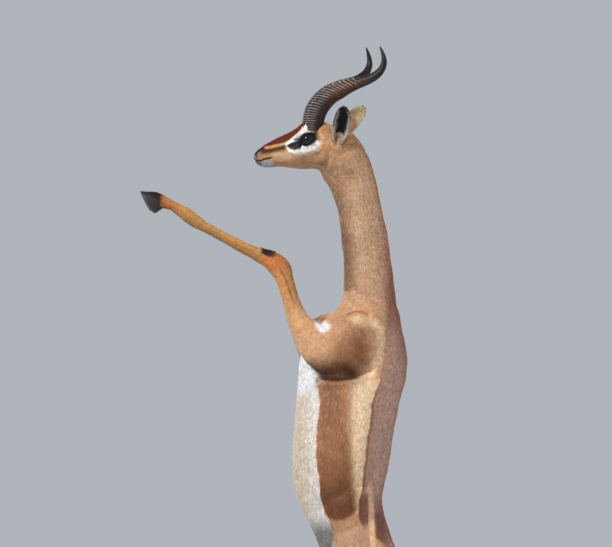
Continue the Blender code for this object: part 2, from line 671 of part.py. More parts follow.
    # each closed body takes the name of the seed nearest to its middle
    seeds = {"head": (at(300, 150), "coat_tan"), "neck_upper": (at(352, 188), "coat_neck"),
             "neck_lower": (at(367, 268), "coat_neck"), "chest": (at(350, 365), "coat_flank"),
             "abdomen": (at(345, 464), "coat_flank"), "hindquarters": (at(362, 545), "coat_saddle"),
             "tail": (at(414, 665), "coat_saddle")}
    for tag in ("left", "right"):
        fore, hind = legs["fore_" + tag], legs["hind_" + tag]
        for name, path, station in (("forearm", fore, 9), ("fore_cannon", fore, 16),
                                    ("fore_pastern", fore, 22), ("thigh", hind, 5),
                                    ("shank", hind, 10), ("hind_cannon", hind, 14),
                                    ("hind_pastern", hind, 18)):
            seeds[name + "_" + tag] = (Vector(path[station][:3]), "coat_leg")
    found = {}
    for mesh, centre, volume in islands(parted):
        if volume < 2e-7:
            continue
        name = min(seeds, key=lambda k: (seeds[k][0] - centre).length)
        if name in found:
            raise RuntimeError("two bodies for " + name)
        mesh.name = name
        found[name] = add(bpy.data.objects.new(name, mesh), seeds[name][1])
    bpy.data.objects.remove(parted)
    missing = sorted(set(seeds) - set(found))
    if missing:
        raise RuntimeError("no body for " + ", ".join(missing))
    for obj in keep:
        if not obj.name.startswith("stand"):
            obj.data.shade_smooth()
            obj.data.set_sharp_from_angle(angle=math.radians(50))
    bpy.data.collections.remove(work)


main()
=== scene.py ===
"""The looks of the standing gerenuk: skin, short coat, eyes, horns, hooves, base, studio and camera."""
import json
import math

import bmesh
import bpy
import numpy as np
from mathutils import Matrix, Vector
from mathutils.bvhtree import BVHTree

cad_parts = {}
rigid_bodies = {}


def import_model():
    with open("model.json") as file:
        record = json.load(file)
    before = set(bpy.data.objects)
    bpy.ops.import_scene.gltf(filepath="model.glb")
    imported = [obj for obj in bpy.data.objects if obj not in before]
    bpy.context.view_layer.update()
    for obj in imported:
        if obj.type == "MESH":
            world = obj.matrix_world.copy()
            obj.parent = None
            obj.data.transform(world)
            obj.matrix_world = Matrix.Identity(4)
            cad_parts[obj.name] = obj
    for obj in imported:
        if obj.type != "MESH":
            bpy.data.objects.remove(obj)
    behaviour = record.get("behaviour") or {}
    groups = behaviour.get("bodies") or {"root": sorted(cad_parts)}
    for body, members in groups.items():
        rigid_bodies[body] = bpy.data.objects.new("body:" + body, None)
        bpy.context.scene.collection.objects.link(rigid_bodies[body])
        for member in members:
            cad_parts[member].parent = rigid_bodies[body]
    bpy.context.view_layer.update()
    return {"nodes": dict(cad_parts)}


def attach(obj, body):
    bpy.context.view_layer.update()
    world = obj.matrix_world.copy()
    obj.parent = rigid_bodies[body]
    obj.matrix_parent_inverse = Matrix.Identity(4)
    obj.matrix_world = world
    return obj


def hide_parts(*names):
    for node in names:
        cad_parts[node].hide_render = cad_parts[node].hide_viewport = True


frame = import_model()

RNG = np.random.default_rng(1871)

# ---------------------------------------------------------------- sizes shared with the CAD
UNIT = 0.0024                    # one unit of the side drawing, in metres
TURN = math.radians(12.0)        # the side drawing is turned this far toward the front
MID, GROUND = 355.0, 945.0       # drawing column of the origin, row of the standing surface
BASE_THICK = 0.025
VOXEL = 0.0051                   # cell of the joined skin
FULLER = 0.0009
EYE_RADIUS = 0.0180
EAR_WIDTH, EAR_THICK = 0.036, 0.0046
CLAW_LENGTH, CLAW_WIDTH, CLAW_HEIGHT = 0.056, 0.0160, 0.035
CLAW_HEEL, CLAW_SLOPE, CLAW_SPLIT = 0.58, 0.0215, 0.0012
GAP = 0.0003
COS, SIN = math.cos(TURN), math.sin(TURN)


def at(col, row, y=0.0):
    """A point from its column and row in the turned side drawing, at side offset y."""
    return Vector((((col - MID) * UNIT + SIN * y) / COS, y,
                   (GROUND - row) * UNIT + BASE_THICK))


def drawing(p):
    """Column and row, in the side drawing of the nearer side, of an array of points."""
    return (MID + (COS * p[:, 0] + SIN * np.abs(p[:, 1])) / UNIT,
            GROUND - (p[:, 2] - BASE_THICK) / UNIT)


# ---------------------------------------------------------------- the body's stations
# trunk: row, front column, back column, half width (m), how far the back is the wider side
TRUNK = (
    (292, 345, 394, 0.046, 0.00), (302, 341, 396, 0.054, 0.00), (312, 333, 399, 0.068, 0.02),
    (322, 322, 401, 0.080, 0.05), (334, 311, 403.5, 0.088, 0.08), (347, 303, 406, 0.094, 0.10),
    (362, 299, 407.7, 0.099, 0.10), (380, 297.6, 405.8, 0.104, 0.08), (400, 296, 400, 0.109, 0.04),
    (420, 294.6, 396, 0.113, 0.00), (440, 293, 392.5, 0.115, -0.04), (460, 292, 389.8, 0.114, -0.06),
    (480, 293.4, 385.3, 0.107, -0.04), (500, 298, 382, 0.095, 0.00), (516, 305.5, 385, 0.086, 0.02),
    (532, 313, 390, 0.080, 0.05), (548, 320, 395.6, 0.078, 0.05), (566, 328, 402, 0.076, 0.05),
    (586, 338, 407.5, 0.070, 0.05), (604, 352, 409, 0.056, 0.05), (618, 368, 404, 0.034, 0.0))
# neck: column, row, half depth (units), half width (m)
NECK = (
    (336.5, 149.5, 24.0, 0.036), (342.0, 160.0, 25.2, 0.0415), (348.2, 172.0, 24.8, 0.0430),
    (354.2, 187.6, 23.2, 0.0430), (358.4, 203, 21.9, 0.0425), (361.7, 220, 22.3, 0.0430),
    (364.8, 240, 23.5, 0.0445), (367.1, 260, 23.9, 0.0465), (368.8, 280, 25.0, 0.0505),
    (369.2, 300, 27.2, 0.0560), (367.5, 322, 31.8, 0.066), (364, 345, 34, 0.070))
# head: column, top row, bottom row, half width (m), how far the top is the wider side
HEAD = (
    (254.3, 154.8, 160.8, 0.0090, 0.0), (256.2, 151.8, 163.0, 0.0140, 0.0),
    (259.5, 148.8, 165.2, 0.0175, 0.0), (264, 145.6, 167.2, 0.0192, -0.02),
    (270, 142.2, 167.3, 0.0192, -0.03), (277, 138.4, 166.7, 0.0202, 0.02),
    (284, 135.2, 167.0, 0.0225, 0.10), (291, 131.9, 168.0, 0.0270, 0.18),
    (297, 128.2, 168.7, 0.0325, 0.24), (303, 124.2, 169.0, 0.0375, 0.28),
    (309, 122.0, 168.8, 0.0405, 0.28), (316, 121.6, 169.2, 0.0410, 0.24),
    (323, 122.2, 171.0, 0.0405, 0.18), (330, 124.6, 172.5, 0.0400, 0.10),
    (338, 127.8, 173.0, 0.0390, 0.04), (346, 130.2, 169.0, 0.0345, 0.0),
    (352, 133.0, 160.0, 0.0260, 0.0), (356.5, 138.5, 151.0, 0.0130, 0.0))
# foreleg from the elbow to past the coronet: column, row, y, half depth (units), half width
FORELEG = (
    (360, 357, -0.080, 14, 0.022), (350, 357.5, -0.084, 19.5, 0.028), (340, 355.8, -0.087, 22.5, 0.032),
    (328.5, 351.2, -0.087, 23.6, 0.033), (318, 344.6, -0.084, 21.0, 0.0315),
    (310, 336, -0.080, 16.6, 0.0290), (303.6, 327.6, -0.077, 13.0, 0.0260),
    (298, 318.5, -0.074, 10.7, 0.0235), (293, 306, -0.071, 9.0, 0.0205), (288.4, 292, -0.068, 8.3, 0.0187),
    (284.6, 279.5, -0.065, 8.6, 0.0190), (280.2, 269.5, -0.063, 10.4, 0.0205),
    (274.4, 262.6, -0.062, 10.2, 0.0205), (266, 258, -0.060, 8.0, 0.0175), (256, 253.4, -0.058, 6.4, 0.0140),
    (244, 247.6, -0.056, 5.5, 0.0122), (230, 240.1, -0.054, 5.0, 0.0115), (216, 232.5, -0.052, 4.7, 0.0113),
    (203, 225.5, -0.050, 5.0, 0.0120), (194, 220.0, -0.049, 6.2, 0.0137), (187, 215.0, -0.048, 6.8, 0.0148),
    (180, 210.6, -0.047, 5.6, 0.0130), (172.5, 206.0, -0.047, 4.8, 0.0123), (165, 202.6, -0.046, 5.4, 0.0140),
    (158.5, 200.2, -0.046, 6.5, 0.0165), (150, 198.2, -0.046, 6.6, 0.0165))
ELBOW_CUT, CARPUS_CUT, FETLOCK_CUT = 7, 11, 19        # station numbers of the foreleg's cuts
# shoulder: column, row, y and the radii along X, Y and Z
SHOULDER = (351.5, 344.5, -0.070, 0.0800, 0.0470, 0.0800)
RIGHT_POINT = (329.0, 331.0, 0.066, 0.046, 0.036, 0.046)     # point of the right shoulder
FORE_PITCH = 62.0                # the fore claws are turned up this far from standing
# hind leg from the loin to past the coronet
HINDLEG = (
    (370, 503, -0.028, 8, 0.022), (364, 530, -0.048, 24, 0.038), (363.5, 556, -0.058, 34, 0.045),
    (365, 582, -0.062, 38.8, 0.050), (364.5, 610, -0.067, 40.0, 0.051), (360, 638, -0.071, 37.5, 0.047),
    (354.5, 665, -0.074, 32.5, 0.041), (351, 690, -0.076, 27.0, 0.0355), (352.5, 715, -0.077, 22.0, 0.030),
    (358.5, 740, -0.077, 17.8, 0.026), (367.5, 765, -0.077, 14.2, 0.0220), (377, 785, -0.077, 12.4, 0.0192),
    (384, 800, -0.077, 13.0, 0.0205), (385.4, 816, -0.077, 11.2, 0.0190), (382.8, 833, -0.077, 8.4, 0.0147),
    (379.6, 858, -0.077, 7.1, 0.0125), (377.4, 884, -0.077, 7.1, 0.0132), (375.6, 902, -0.077, 8.8, 0.0157),
    (371, 914, -0.077, 7.2, 0.0142), (366.6, 923.5, -0.077, 7.6, 0.0155), (362.6, 932.5, -0.077, 8.8, 0.0172),
    (359, 941, -0.077, 8.8, 0.0170))
STIFLE_CUT, HOCK_CUT, HIND_FETLOCK_CUT = 8, 12, 16    # station numbers of the hind leg's cuts
GROIN_COL, GROIN_ROW = 349, 640                  # row where the two cuts that part the thighs meet
# tail: column, row, radius (units)
TAIL = ((398, 584, 7.5), (407, 590, 7.0), (415, 598.5, 5.8), (419.5, 611, 4.8), (420.5, 628, 4.0),
        (419.5, 650, 3.6), (417.0, 672, 3.7), (414.5, 692, 4.8), (412.5, 708, 5.0), (411.5, 721, 3.8),
        (411, 731, 2.0))
# horn: column, row, y, half depth (units), half width (m)
HORN = (
    (313.8, 131, -0.0200, 8.6, 0.0175), (314.6, 124, -0.0205, 9.0, 0.0180),
    (315.9, 117, -0.0210, 9.3, 0.0182), (318.9, 109.0, -0.0220, 9.5, 0.0182),
    (324.8, 100.9, -0.0240, 9.3, 0.0182), (331.6, 95.0, -0.0275, 8.8, 0.0176),
    (339.3, 91.0, -0.0335, 8.3, 0.0167), (348.9, 86.5, -0.0430, 7.0, 0.0148),
    (358.2, 83.3, -0.0545, 5.8, 0.0128), (369.0, 79.5, -0.0675, 4.8, 0.0106),
    (377.2, 74.6, -0.0760, 4.2, 0.0094), (381.6, 69.4, -0.0795, 3.6, 0.0082),
    (383.7, 63.6, -0.0812, 3.1, 0.0071), (383.5, 57.6, -0.0815, 2.4, 0.0056),
    (381.8, 51.8, -0.0795, 1.6, 0.0038), (379.7, 47.0, -0.0765, 0.7, 0.0017))


# ---------------------------------------------------------------- shapes
def spline(rows, per):
    """Catmull-Rom rows between the given rows, per spans each."""
    pts = np.array(rows, float)
    ext = np.vstack([2 * pts[0] - pts[1], pts, 2 * pts[-1] - pts[-2]])
    out = []
    for i in range(1, len(ext) - 2):
        a, b, c, d = ext[i - 1:i + 3]
        for k in range(per):
            t = k / per
            out.append(0.5 * (2 * b + (c - a) * t + (2 * a - 5 * b + 4 * c - d) * t * t
                              + (3 * b - a - 3 * c + d) * t ** 3))
    out.append(pts[-1])
    return np.array(out)


def loft(name, rings):
    """A closed tube through rings of points, capped at both ends."""
    bm = bmesh.new()
    loops = [[bm.verts.new(p) for p in ring] for ring in rings]
    n = len(loops[0])
    for lo, hi in zip(loops, loops[1:]):
        for j in range(n):
            bm.faces.new((lo[j], lo[(j + 1) % n], hi[(j + 1) % n], hi[j]))
    bm.faces.new(loops[0][::-1])
    bm.faces.new(loops[-1])
    bmesh.ops.recalc_face_normals(bm, faces=bm.faces)
    mesh = bpy.data.meshes.new(name)
    bm.to_mesh(mesh)
    bm.free()
    return bpy.data.objects.new(name, mesh)


def oval(centre, u, v, ru, rv, widen=0.0, n=28, power=1.0):
    """An oval ring: ru along u, rv along v, wider on the +u side by widen."""
    pts = []
    for j in range(n):
        a = 2 * math.pi * j / n
        cu, sv = math.cos(a), math.sin(a)
        cu = math.copysign(abs(cu) ** power, cu)
        sv = math.copysign(abs(sv) ** power, sv)
        pts.append(Vector(centre) + Vector(u) * (ru * cu) + Vector(v) * (rv * sv * (1 + widen * cu)))
    return pts


def limb_rings(path, per=3, n=20):
    """Rings across a bent path of rows (x, y, z, half depth, half width)."""
    rows = spline(path, per)
    rings = []
    for i, r in enumerate(rows):
        t = Vector(rows[min(i + 1, len(rows) - 1)][:3] - rows[max(i - 1, 0)][:3]).normalized()
        u = Vector((t.z, 0.0, -t.x)).normalized()
        v = t.cross(u).normalized()
        rings.append(oval(r[:3], u, v, max(r[3], 0.0004), max(r[4], 0.0004), n=n, power=0.92))
    return rings


def leg_path(stations):
    return [tuple(at(c, r, y)) + (d * UNIT, w) for c, r, y, d, w in stations]


def far_side(path, swing):
    """The right-hand leg: the left one mirrored, moved along X and Z by swing(share)."""
    out = []
    for i, (x, y, z, d, w) in enumerate(path):
        dx, dz = swing(i / (len(path) - 1))
        out.append((x + dx, -y, z + dz, d, w))
    return out


def ease(t, lo, hi):
    t = min(1.0, max(0.0, (t - lo) / (hi - lo)))
    return t * t * (3 - 2 * t)


def fore_swing(t):
    return 0.030 * ease(t, 0.0, 0.14) - 0.004 * ease(t, 0.45, 0.7), -0.004 * ease(t, 0.2, 0.6)


def hind_swing(t):
    return 0.040 * ease(t, 0.15, 0.95) - 0.008 * ease(t, 0.1, 0.5), 0.0


def ball(name, centre, radii, turn=0.0, segments=20):
    bm = bmesh.new()
    bmesh.ops.create_uvsphere(bm, u_segments=segments, v_segments=segments // 2 + 2, radius=1.0)
    place = (Matrix.Translation(centre) @ Matrix.Rotation(turn, 4, "Y")
             @ Matrix.Diagonal((radii[0], radii[1], radii[2], 1.0)))
    bmesh.ops.transform(bm, matrix=place, verts=bm.verts)
    mesh = bpy.data.meshes.new(name)
    bm.to_mesh(mesh)
    bm.free()
    return bpy.data.objects.new(name, mesh)


# ---------------------------------------------------------------- the flesh
def trunk_rings():
    rings = []
    for row, front, back, width, widen in spline(TRUNK, 3):
        mid, half = (front + back) / 2, (back - front) / 2 * UNIT
        rings.append(oval(at(mid, row), (1, 0, 0), (0, 1, 0), half, width, widen, 36, 0.93))
    return rings


def neck_rings():
    path = []
    for col, row, depth, width in NECK:
        path.append(tuple(at(col, row)) + (depth * UNIT, width))
    return limb_rings(path, 3, 28)


def head_rings():
    rings = []
    for col, top, bottom, width, widen in spline(HEAD, 3):
        mid, half = at(col, (top + bottom) / 2), (bottom - top) / 2 * UNIT
        rings.append(oval(mid, (0, 0, 1), (0, 1, 0), half, max(width, 0.002), widen, 28, 0.9))
    return rings


def tail_rings():
    return limb_rings([tuple(at(c, r)) + (d * UNIT, d * UNIT) for c, r, d in TAIL], 3, 14)


def eye_centre(side):
    pole = at(308.0, 139.6, -0.0478)
    return Vector((pole.x + 0.0025, side * (abs(pole.y) - EYE_RADIUS), pole.z))


def flesh_parts():
    left_fore, left_hind = leg_path(FORELEG), leg_path(HINDLEG)
    parts = [loft("f_trunk", trunk_rings()), loft("f_neck", neck_rings()),
             loft("f_head", head_rings()), loft("f_tail", tail_rings()),
             loft("f_fore_l", limb_rings(left_fore)), loft("f_hind_l", limb_rings(left_hind)),
             loft("f_fore_r", limb_rings(far_side(left_fore, fore_swing))),
             loft("f_hind_r", limb_rings(far_side(left_hind, hind_swing)))]
    col, row, y, rx, ry, rz = RIGHT_POINT
    parts.append(ball("f_point", at(col, row, y), (rx, ry, rz), 0.0, 24))
    for side in (-1, 1):
        eye = eye_centre(side)
        parts.append(ball("f_orbit", eye + Vector((0.0, -side * 0.0045, 0.001)), (0.0270, 0.0185, 0.0225), 0.25))
        col, row, y, rx, ry, rz = SHOULDER
        blade = at(col, row, y)
        parts.append(ball("f_shoulder", Vector((blade.x, -side * blade.y, blade.z)), (rx, ry, rz), 0.0, 28))
        cheek = at(314, 156, 0.0)
        parts.append(ball("f_cheek", Vector((cheek.x, side * 0.0170, cheek.z)), (0.034, 0.0165, 0.026), 0.2))
        ear = ear_base(side)
        parts.append(ball("f_earbase", Vector((ear.x + 0.001, side * 0.0290, ear.z - 0.006)), (0.0165, 0.0150, 0.0175)))
    return parts


def ear_base(side):
    near = at(339.0, 140.5, -0.0400)
    return Vector((near.x, side * 0.0400, near.z))


def ear_frame(side):
    """Base, tip and the direction that the cup opens toward."""
    base = ear_base(side)
    if side < 0:
        tip = at(344.6, 107.6, -0.1290)
        facing = Vector((-0.42, -0.80, -0.42))
    else:
        tip = at(364.3, 107.2, 0.0660)
        facing = Vector((0.18, 0.95, -0.10))
    return base, tip, facing


def ear_width(s):
    """Relative width of the ear at a share of its length: broad, with a rounded tip."""
    if s < 0.5:
        return 0.60 + 0.62 * math.sin(math.pi * s)
    return 1.22 * math.sqrt(1 - ((s - 0.5) / 0.518) ** 2)


def ear_grid(side, nu=8, nv=7, inset=0.0):
    base, tip, facing = ear_frame(side)
    axis = (tip - base).normalized()
    length = (tip - base).length - inset
    facing = (facing - axis * facing.dot(axis)).normalized()
    across = axis.cross(facing).normalized()
    grid = []
    for i in range(nu + 1):
        s = i / nu
        half = (EAR_WIDTH / 2 - inset) * ear_width(s)
        bend = math.radians(132 - 84 * min(1.0, s / 0.75))
        radius = half / math.sin(min(bend, math.pi / 2))
        # curl of the whole ear: the tip leans gently toward the opening
        spine = base + axis * (length * s) + facing * (0.010 * math.sin(math.pi * s) * -1 + 0.004 * s)
        row = []
        for j in range(nv + 1):
            a = bend * (2 * j / nv - 1)
            row.append(spine + across * (radius * math.sin(a)) + facing * (radius * (1 - math.cos(a)) - 0.006))
        grid.append(row)
    return grid


def claw_top():
    """Middle and normal of the slanted top of a foot's claws, seen from its origin."""
    front, heel = CLAW_SLOPE - CLAW_LENGTH * 0.76, CLAW_LENGTH * 0.24
    fall = CLAW_HEIGHT * (1 - CLAW_HEEL) / (CLAW_LENGTH - CLAW_SLOPE)
    mid = (front + heel) / 2
    return (Vector((mid, 0, CLAW_HEIGHT - fall * (mid - front))), Vector((fall, 0, 1)).normalized())


def evaluated(obj, collection=None):
    """A plain mesh object from an object with its modifiers."""
    bpy.context.view_layer.update()
    graph = bpy.context.evaluated_depsgraph_get()
    mesh = bpy.data.meshes.new_from_object(obj.evaluated_get(graph))
    made = bpy.data.objects.new(obj.name + "_mesh", mesh)
    made.matrix_world = obj.matrix_world
    return made


def taubin(mesh, rounds, pull=0.52, push=-0.53):
    """Even out a mesh without thinning it."""
    count = len(mesh.vertices)
    co = np.empty(count * 3)
    mesh.vertices.foreach_get("co", co)
    co = co.reshape(-1, 3)
    ends = np.empty(len(mesh.edges) * 2, int)
    mesh.edges.foreach_get("vertices", ends)
    ends = ends.reshape(-1, 2)
    first = np.concatenate([ends[:, 0], ends[:, 1]])
    second = np.concatenate([ends[:, 1], ends[:, 0]])
    valence = np.bincount(first, minlength=count).clip(1)[:, None]
    for step in range(rounds * 2):
        mean = np.stack([np.bincount(first, weights=co[second, k], minlength=count) for k in range(3)], 1)
        co = co + (pull if step % 2 == 0 else push) * (mean / valence - co)
    mesh.vertices.foreach_set("co", co.ravel())
    mesh.update()


def blend_shoulder(mesh, rounds):
    """Soften the step where the shoulder blade meets neck and trunk, above its lower fold."""
    count = len(mesh.vertices)
    co = np.empty(count * 3)
    mesh.vertices.foreach_get("co", co)
    co = co.reshape(-1, 3)
    ends = np.empty(len(mesh.edges) * 2, int)
    mesh.edges.foreach_get("vertices", ends)
    ends = ends.reshape(-1, 2)
    first = np.concatenate([ends[:, 0], ends[:, 1]])
    second = np.concatenate([ends[:, 1], ends[:, 0]])
    valence = np.bincount(first, minlength=count).clip(1)[:, None]
    col = MID + (COS * co[:, 0] + SIN * np.abs(co[:, 1])) / UNIT
    row = GROUND - (co[:, 2] - BASE_THICK) / UNIT

    def rise(x, lo, hi):
        t = np.clip((x - lo) / (hi - lo), 0, 1)
        return t * t * (3 - 2 * t)
    weight = (rise(np.abs(co[:, 1]), 0.040, 0.062) * rise(row, 286, 300) * rise(row, 376, 366)
              * rise(col, 322, 336))[:, None] * 0.5
    for _ in range(rounds):
        mean = np.stack([np.bincount(first, weights=co[second, k], minlength=count) for k in range(3)], 1)
        co = co + weight * (mean / valence - co)
    mesh.vertices.foreach_set("co", co.ravel())
    mesh.update()


# ---------------------------------------------------------------- where a point is on the body
def skeleton():
    """Samples along every part: place, tangent, half axes and station, one row each."""
    def tube(path):
        rows = spline(path, 4)
        out = []
        for i, r in enumerate(rows):
            t = Vector(rows[min(i + 1, len(rows) - 1)][:3] - rows[max(i - 1, 0)][:3]).normalized()
            u = Vector((t.z, 0.0, -t.x)).normalized()
            out.append((r[:3], t, u, t.cross(u).normalized(), max(r[3], 0.002), max(r[4], 0.002), i / 4.0))
        return out
    fore, hind = leg_path(FORELEG), leg_path(HINDLEG)
    parts = [("trunk", tube([tuple(at((a + b) / 2, row)) + ((b - a) / 2 * UNIT, w) for row, a, b, w, _ in TRUNK])),
             ("neck", tube([tuple(at(c, r)) + (d * UNIT, w) for c, r, d, w in NECK])),
             ("head", tube([tuple(at(c, (a + b) / 2)) + ((b - a) / 2 * UNIT, w) for c, a, b, w, _ in HEAD])),
             ("tail", tube([tuple(at(c, r)) + (d * UNIT, d * UNIT) for c, r, d in TAIL])),
             ("fore_left", tube(fore[4:])), ("fore_right", tube(far_side(fore, fore_swing)[4:])),
             ("hind_left", tube(hind[3:])), ("hind_right", tube(far_side(hind, hind_swing)[3:]))]
    skip = {"fore_left": 4, "fore_right": 4, "hind_left": 3, "hind_right": 3}
    names, rows = [], []
    for k, (name, samples) in enumerate(parts):
        names.append(name)
        for p, t, u, v, ru, rv, s in samples:
            rows.append([*p, *t, *u, *v, ru, rv, s + skip.get(name, 0), k])
    return names, np.array(rows)


PARTS, SKEL = skeleton()


class Place:
    """For points of the surface: the part they are on, the station, the offsets across it and the lie of the coat."""

    def __init__(self, pts):
        n = len(pts)
        self.part = np.zeros(n, int)
        self.station, self.fu, self.fv = np.zeros(n), np.zeros(n), np.zeros(n)
        self.flow = np.zeros((n, 3))
        self.col, self.row = drawing(pts)
        self.y = np.abs(pts[:, 1])
        pos, t, u, v = SKEL[:, :3], SKEL[:, 3:6], SKEL[:, 6:9], SKEL[:, 9:12]
        ru, rv = SKEL[:, 12], SKEL[:, 13]
        for lo in range(0, n, 20000):
            p = pts[lo:lo + 20000]
            du = (p @ u.T - (pos * u).sum(1)) / ru
            dv = (p @ v.T - (pos * v).sum(1)) / rv
            dt = (p @ t.T - (pos * t).sum(1)) / (0.5 * (ru + rv))
            q = np.sqrt(du * du + dv * dv + dt * dt)
            k = q.argmin(1)
            i = np.arange(len(p))
            self.part[lo:lo + 20000] = SKEL[k, 15]
            self.station[lo:lo + 20000] = SKEL[k, 14]
            self.fu[lo:lo + 20000], self.fv[lo:lo + 20000] = du[i, k], dv[i, k]
            near = np.exp(-9.0 * (q - q[i, k][:, None]))
            self.flow[lo:lo + 20000] = near @ t
        self.flow /= np.linalg.norm(self.flow, axis=1)[:, None].clip(1e-9)

    def on(self, *names):
        return np.isin(self.part, [PARTS.index(n) for n in names])


def smooth(x, lo, hi):
    """0 below lo and 1 above hi, easing between; hi may be the smaller."""
    t = np.clip((x - lo) / (hi - lo), 0.0, 1.0)
    return t * t * (3 - 2 * t)


def line_distance(c, r, pts):
    """Distance from drawing points to a polyline, in drawing units."""
    best = np.full(len(c), 1e9)
    for (x0, y0), (x1, y1) in zip(pts, pts[1:]):
        dx, dy = x1 - x0, y1 - y0
        t = np.clip(((c - x0) * dx + (r - y0) * dy) / max(dx * dx + dy * dy, 1e-9), 0, 1)
        best = np.minimum(best, np.hypot(c - x0 - t * dx, r - y0 - t * dy))
    return best


def within(c, r, pts, edge=0.8):
    """1 inside an outline in the drawing and 0 outside, over a soft edge."""
    ring = list(pts) + [pts[0]]
    inside = np.zeros(len(c), bool)
    for (x0, y0), (x1, y1) in zip(ring, ring[1:]):
        if y0 != y1:
            inside ^= ((y0 > r) != (y1 > r)) & (c < (x1 - x0) * (r - y0) / (y1 - y0) + x0)
    d = line_distance(c, r, ring) * np.where(inside, 1, -1)
    return smooth(d, -edge, edge)


def waves(p, size, seed=0.0):
    """A cheap smooth noise from -1 to 1 of about the given size, fixed in space."""
    k = 2 * math.pi / size
    out = np.zeros(len(p))
    for i in range(5):
        a = 1.7 * i + seed
        d = np.array([math.sin(a * 2.1 + 1), math.sin(a * 3.3 + 2), math.cos(a * 1.3 + 4)])
        d /= np.linalg.norm(d)
        out += np.sin((p @ d) * k * (0.7 + 0.23 * i) + a * 5.1)
    return out / 3.2


def coat_depth(place):
    """How far the skin lies under the coat's outer surface."""
    d = np.full(len(place.col), 0.0032)
    d = np.where(place.on("neck"), 0.0030, d)
    legs = place.on("fore_left", "fore_right")
    d = np.where(legs, 0.0028 - 0.0010 * smooth(place.station, 8, 13), d)
    legs = place.on("hind_left", "hind_right")
    d = np.where(legs, 0.0030 - 0.0013 * smooth(place.station, 7, 13), d)
    d = np.where(place.on("tail"), 0.0030, d)
    face = 0.0010 + 0.0012 * smooth(place.col, 290, 335)
    return np.where(place.on("head"), face, d)


# ---------------------------------------------------------------- the skin
def ear_shell(side, nu=30, nv=22):
    """A thin closed ear: its grid thickened, thinner at the rim."""
    grid = ear_grid(side, nu, nv, 0.0012)
    pts = np.array([[list(p) for p in row] for row in grid])
    du = np.gradient(pts, axis=0)
    dv = np.gradient(pts, axis=1)
    n = np.cross(du, dv)
    n /= np.linalg.norm(n, axis=2)[:, :, None]
    bm = bmesh.new()
    rim = np.sin(np.linspace(0, math.pi, nv + 1)).clip(0, 1) ** 0.5
    tip = np.linspace(1, 0.0, nu + 1) ** 0.35
    half = 0.0004 + 0.0011 * rim[None, :] * tip[:, None]
    half = half[:, :, None]
    front = [[bm.verts.new(p) for p in row] for row in pts + n * half]
    back = [[bm.verts.new(p) for p in row] for row in pts - n * half]
    for sheet, flip in ((front, 1), (back, -1)):
        for lo, hi in zip(sheet, sheet[1:]):
            for a, b, c, d in zip(lo, lo[1:], hi[1:], hi):
                bm.faces.new((a, b, c, d)[::flip])
    edge_f = front[0] + [r[-1] for r in front[1:]] + front[-1][-2::-1] + [r[0] for r in front[-2:0:-1]]
    edge_b = back[0] + [r[-1] for r in back[1:]] + back[-1][-2::-1] + [r[0] for r in back[-2:0:-1]]
    for i in range(len(edge_f)):
        j = (i + 1) % len(edge_f)
        bm.faces.new((edge_f[i], edge_f[j], edge_b[j], edge_b[i]))
    bmesh.ops.recalc_face_normals(bm, faces=bm.faces)
    mesh = bpy.data.meshes.new("ear_shell")
    bm.to_mesh(mesh)
    bm.free()
    return bpy.data.objects.new("ear_shell", mesh)


def coords(mesh):
    co = np.empty(len(mesh.vertices) * 3)
    mesh.vertices.foreach_get("co", co)
    return co.reshape(-1, 3)


def normals(mesh):
    no = np.empty(len(mesh.vertices) * 3)
    mesh.vertices.foreach_get("normal", no)
    return no.reshape(-1, 3)


def relax(mesh, weight, rounds):
    """Even out a mesh where weight is above 0."""
    co = coords(mesh)
    ends = np.empty(len(mesh.edges) * 2, int)
    mesh.edges.foreach_get("vertices", ends)
    ends = ends.reshape(-1, 2)
    a = np.concatenate([ends[:, 0], ends[:, 1]])
    b = np.concatenate([ends[:, 1], ends[:, 0]])
    keep = weight[a] > 0
    a, b = a[keep], b[keep]
    valence = np.bincount(a, minlength=len(co)).clip(1)[:, None]
    for step in range(rounds * 2):
        mean = np.stack([np.bincount(a, weights=co[b, k], minlength=len(co)) for k in range(3)], 1) / valence
        pull = (0.5 if step % 2 == 0 else -0.51) * weight[:, None]
        co = np.where(weight[:, None] > 0, co + pull * (mean - co), co)
    mesh.vertices.foreach_set("co", co.ravel())
    mesh.update()


def refine(mesh, wanted):
    """Split the faces whose middles pass wanted(points) once."""
    bm = bmesh.new()
    bm.from_mesh(mesh)
    mids = np.array([f.calc_center_median() for f in bm.faces])
    pick = wanted(mids)
    edges = {e for f, ok in zip(bm.faces, pick) if ok for e in f.edges}
    bmesh.ops.subdivide_edges(bm, edges=sorted(edges, key=lambda e: e.index), cuts=1, use_grid_fill=True)
    bm.to_mesh(mesh)
    bm.free()
    mesh.update()


def eye_frame(side):
    """Centre, outward axis, long axis toward the inner corner, and the axis across it."""
    out = Vector((-0.16, side, 0.06)).normalized()
    long = Vector((-0.925, 0.0, -0.38))
    long = (long - out * long.dot(out)).normalized()
    across = Vector((0, 0, 1))
    across = (across - out * across.dot(out) - long * across.dot(long)).normalized()
    return eye_centre(side), out, long, across


EYE_LONG, EYE_HIGH = 0.0168, 0.0110     # half sizes of the eye's opening


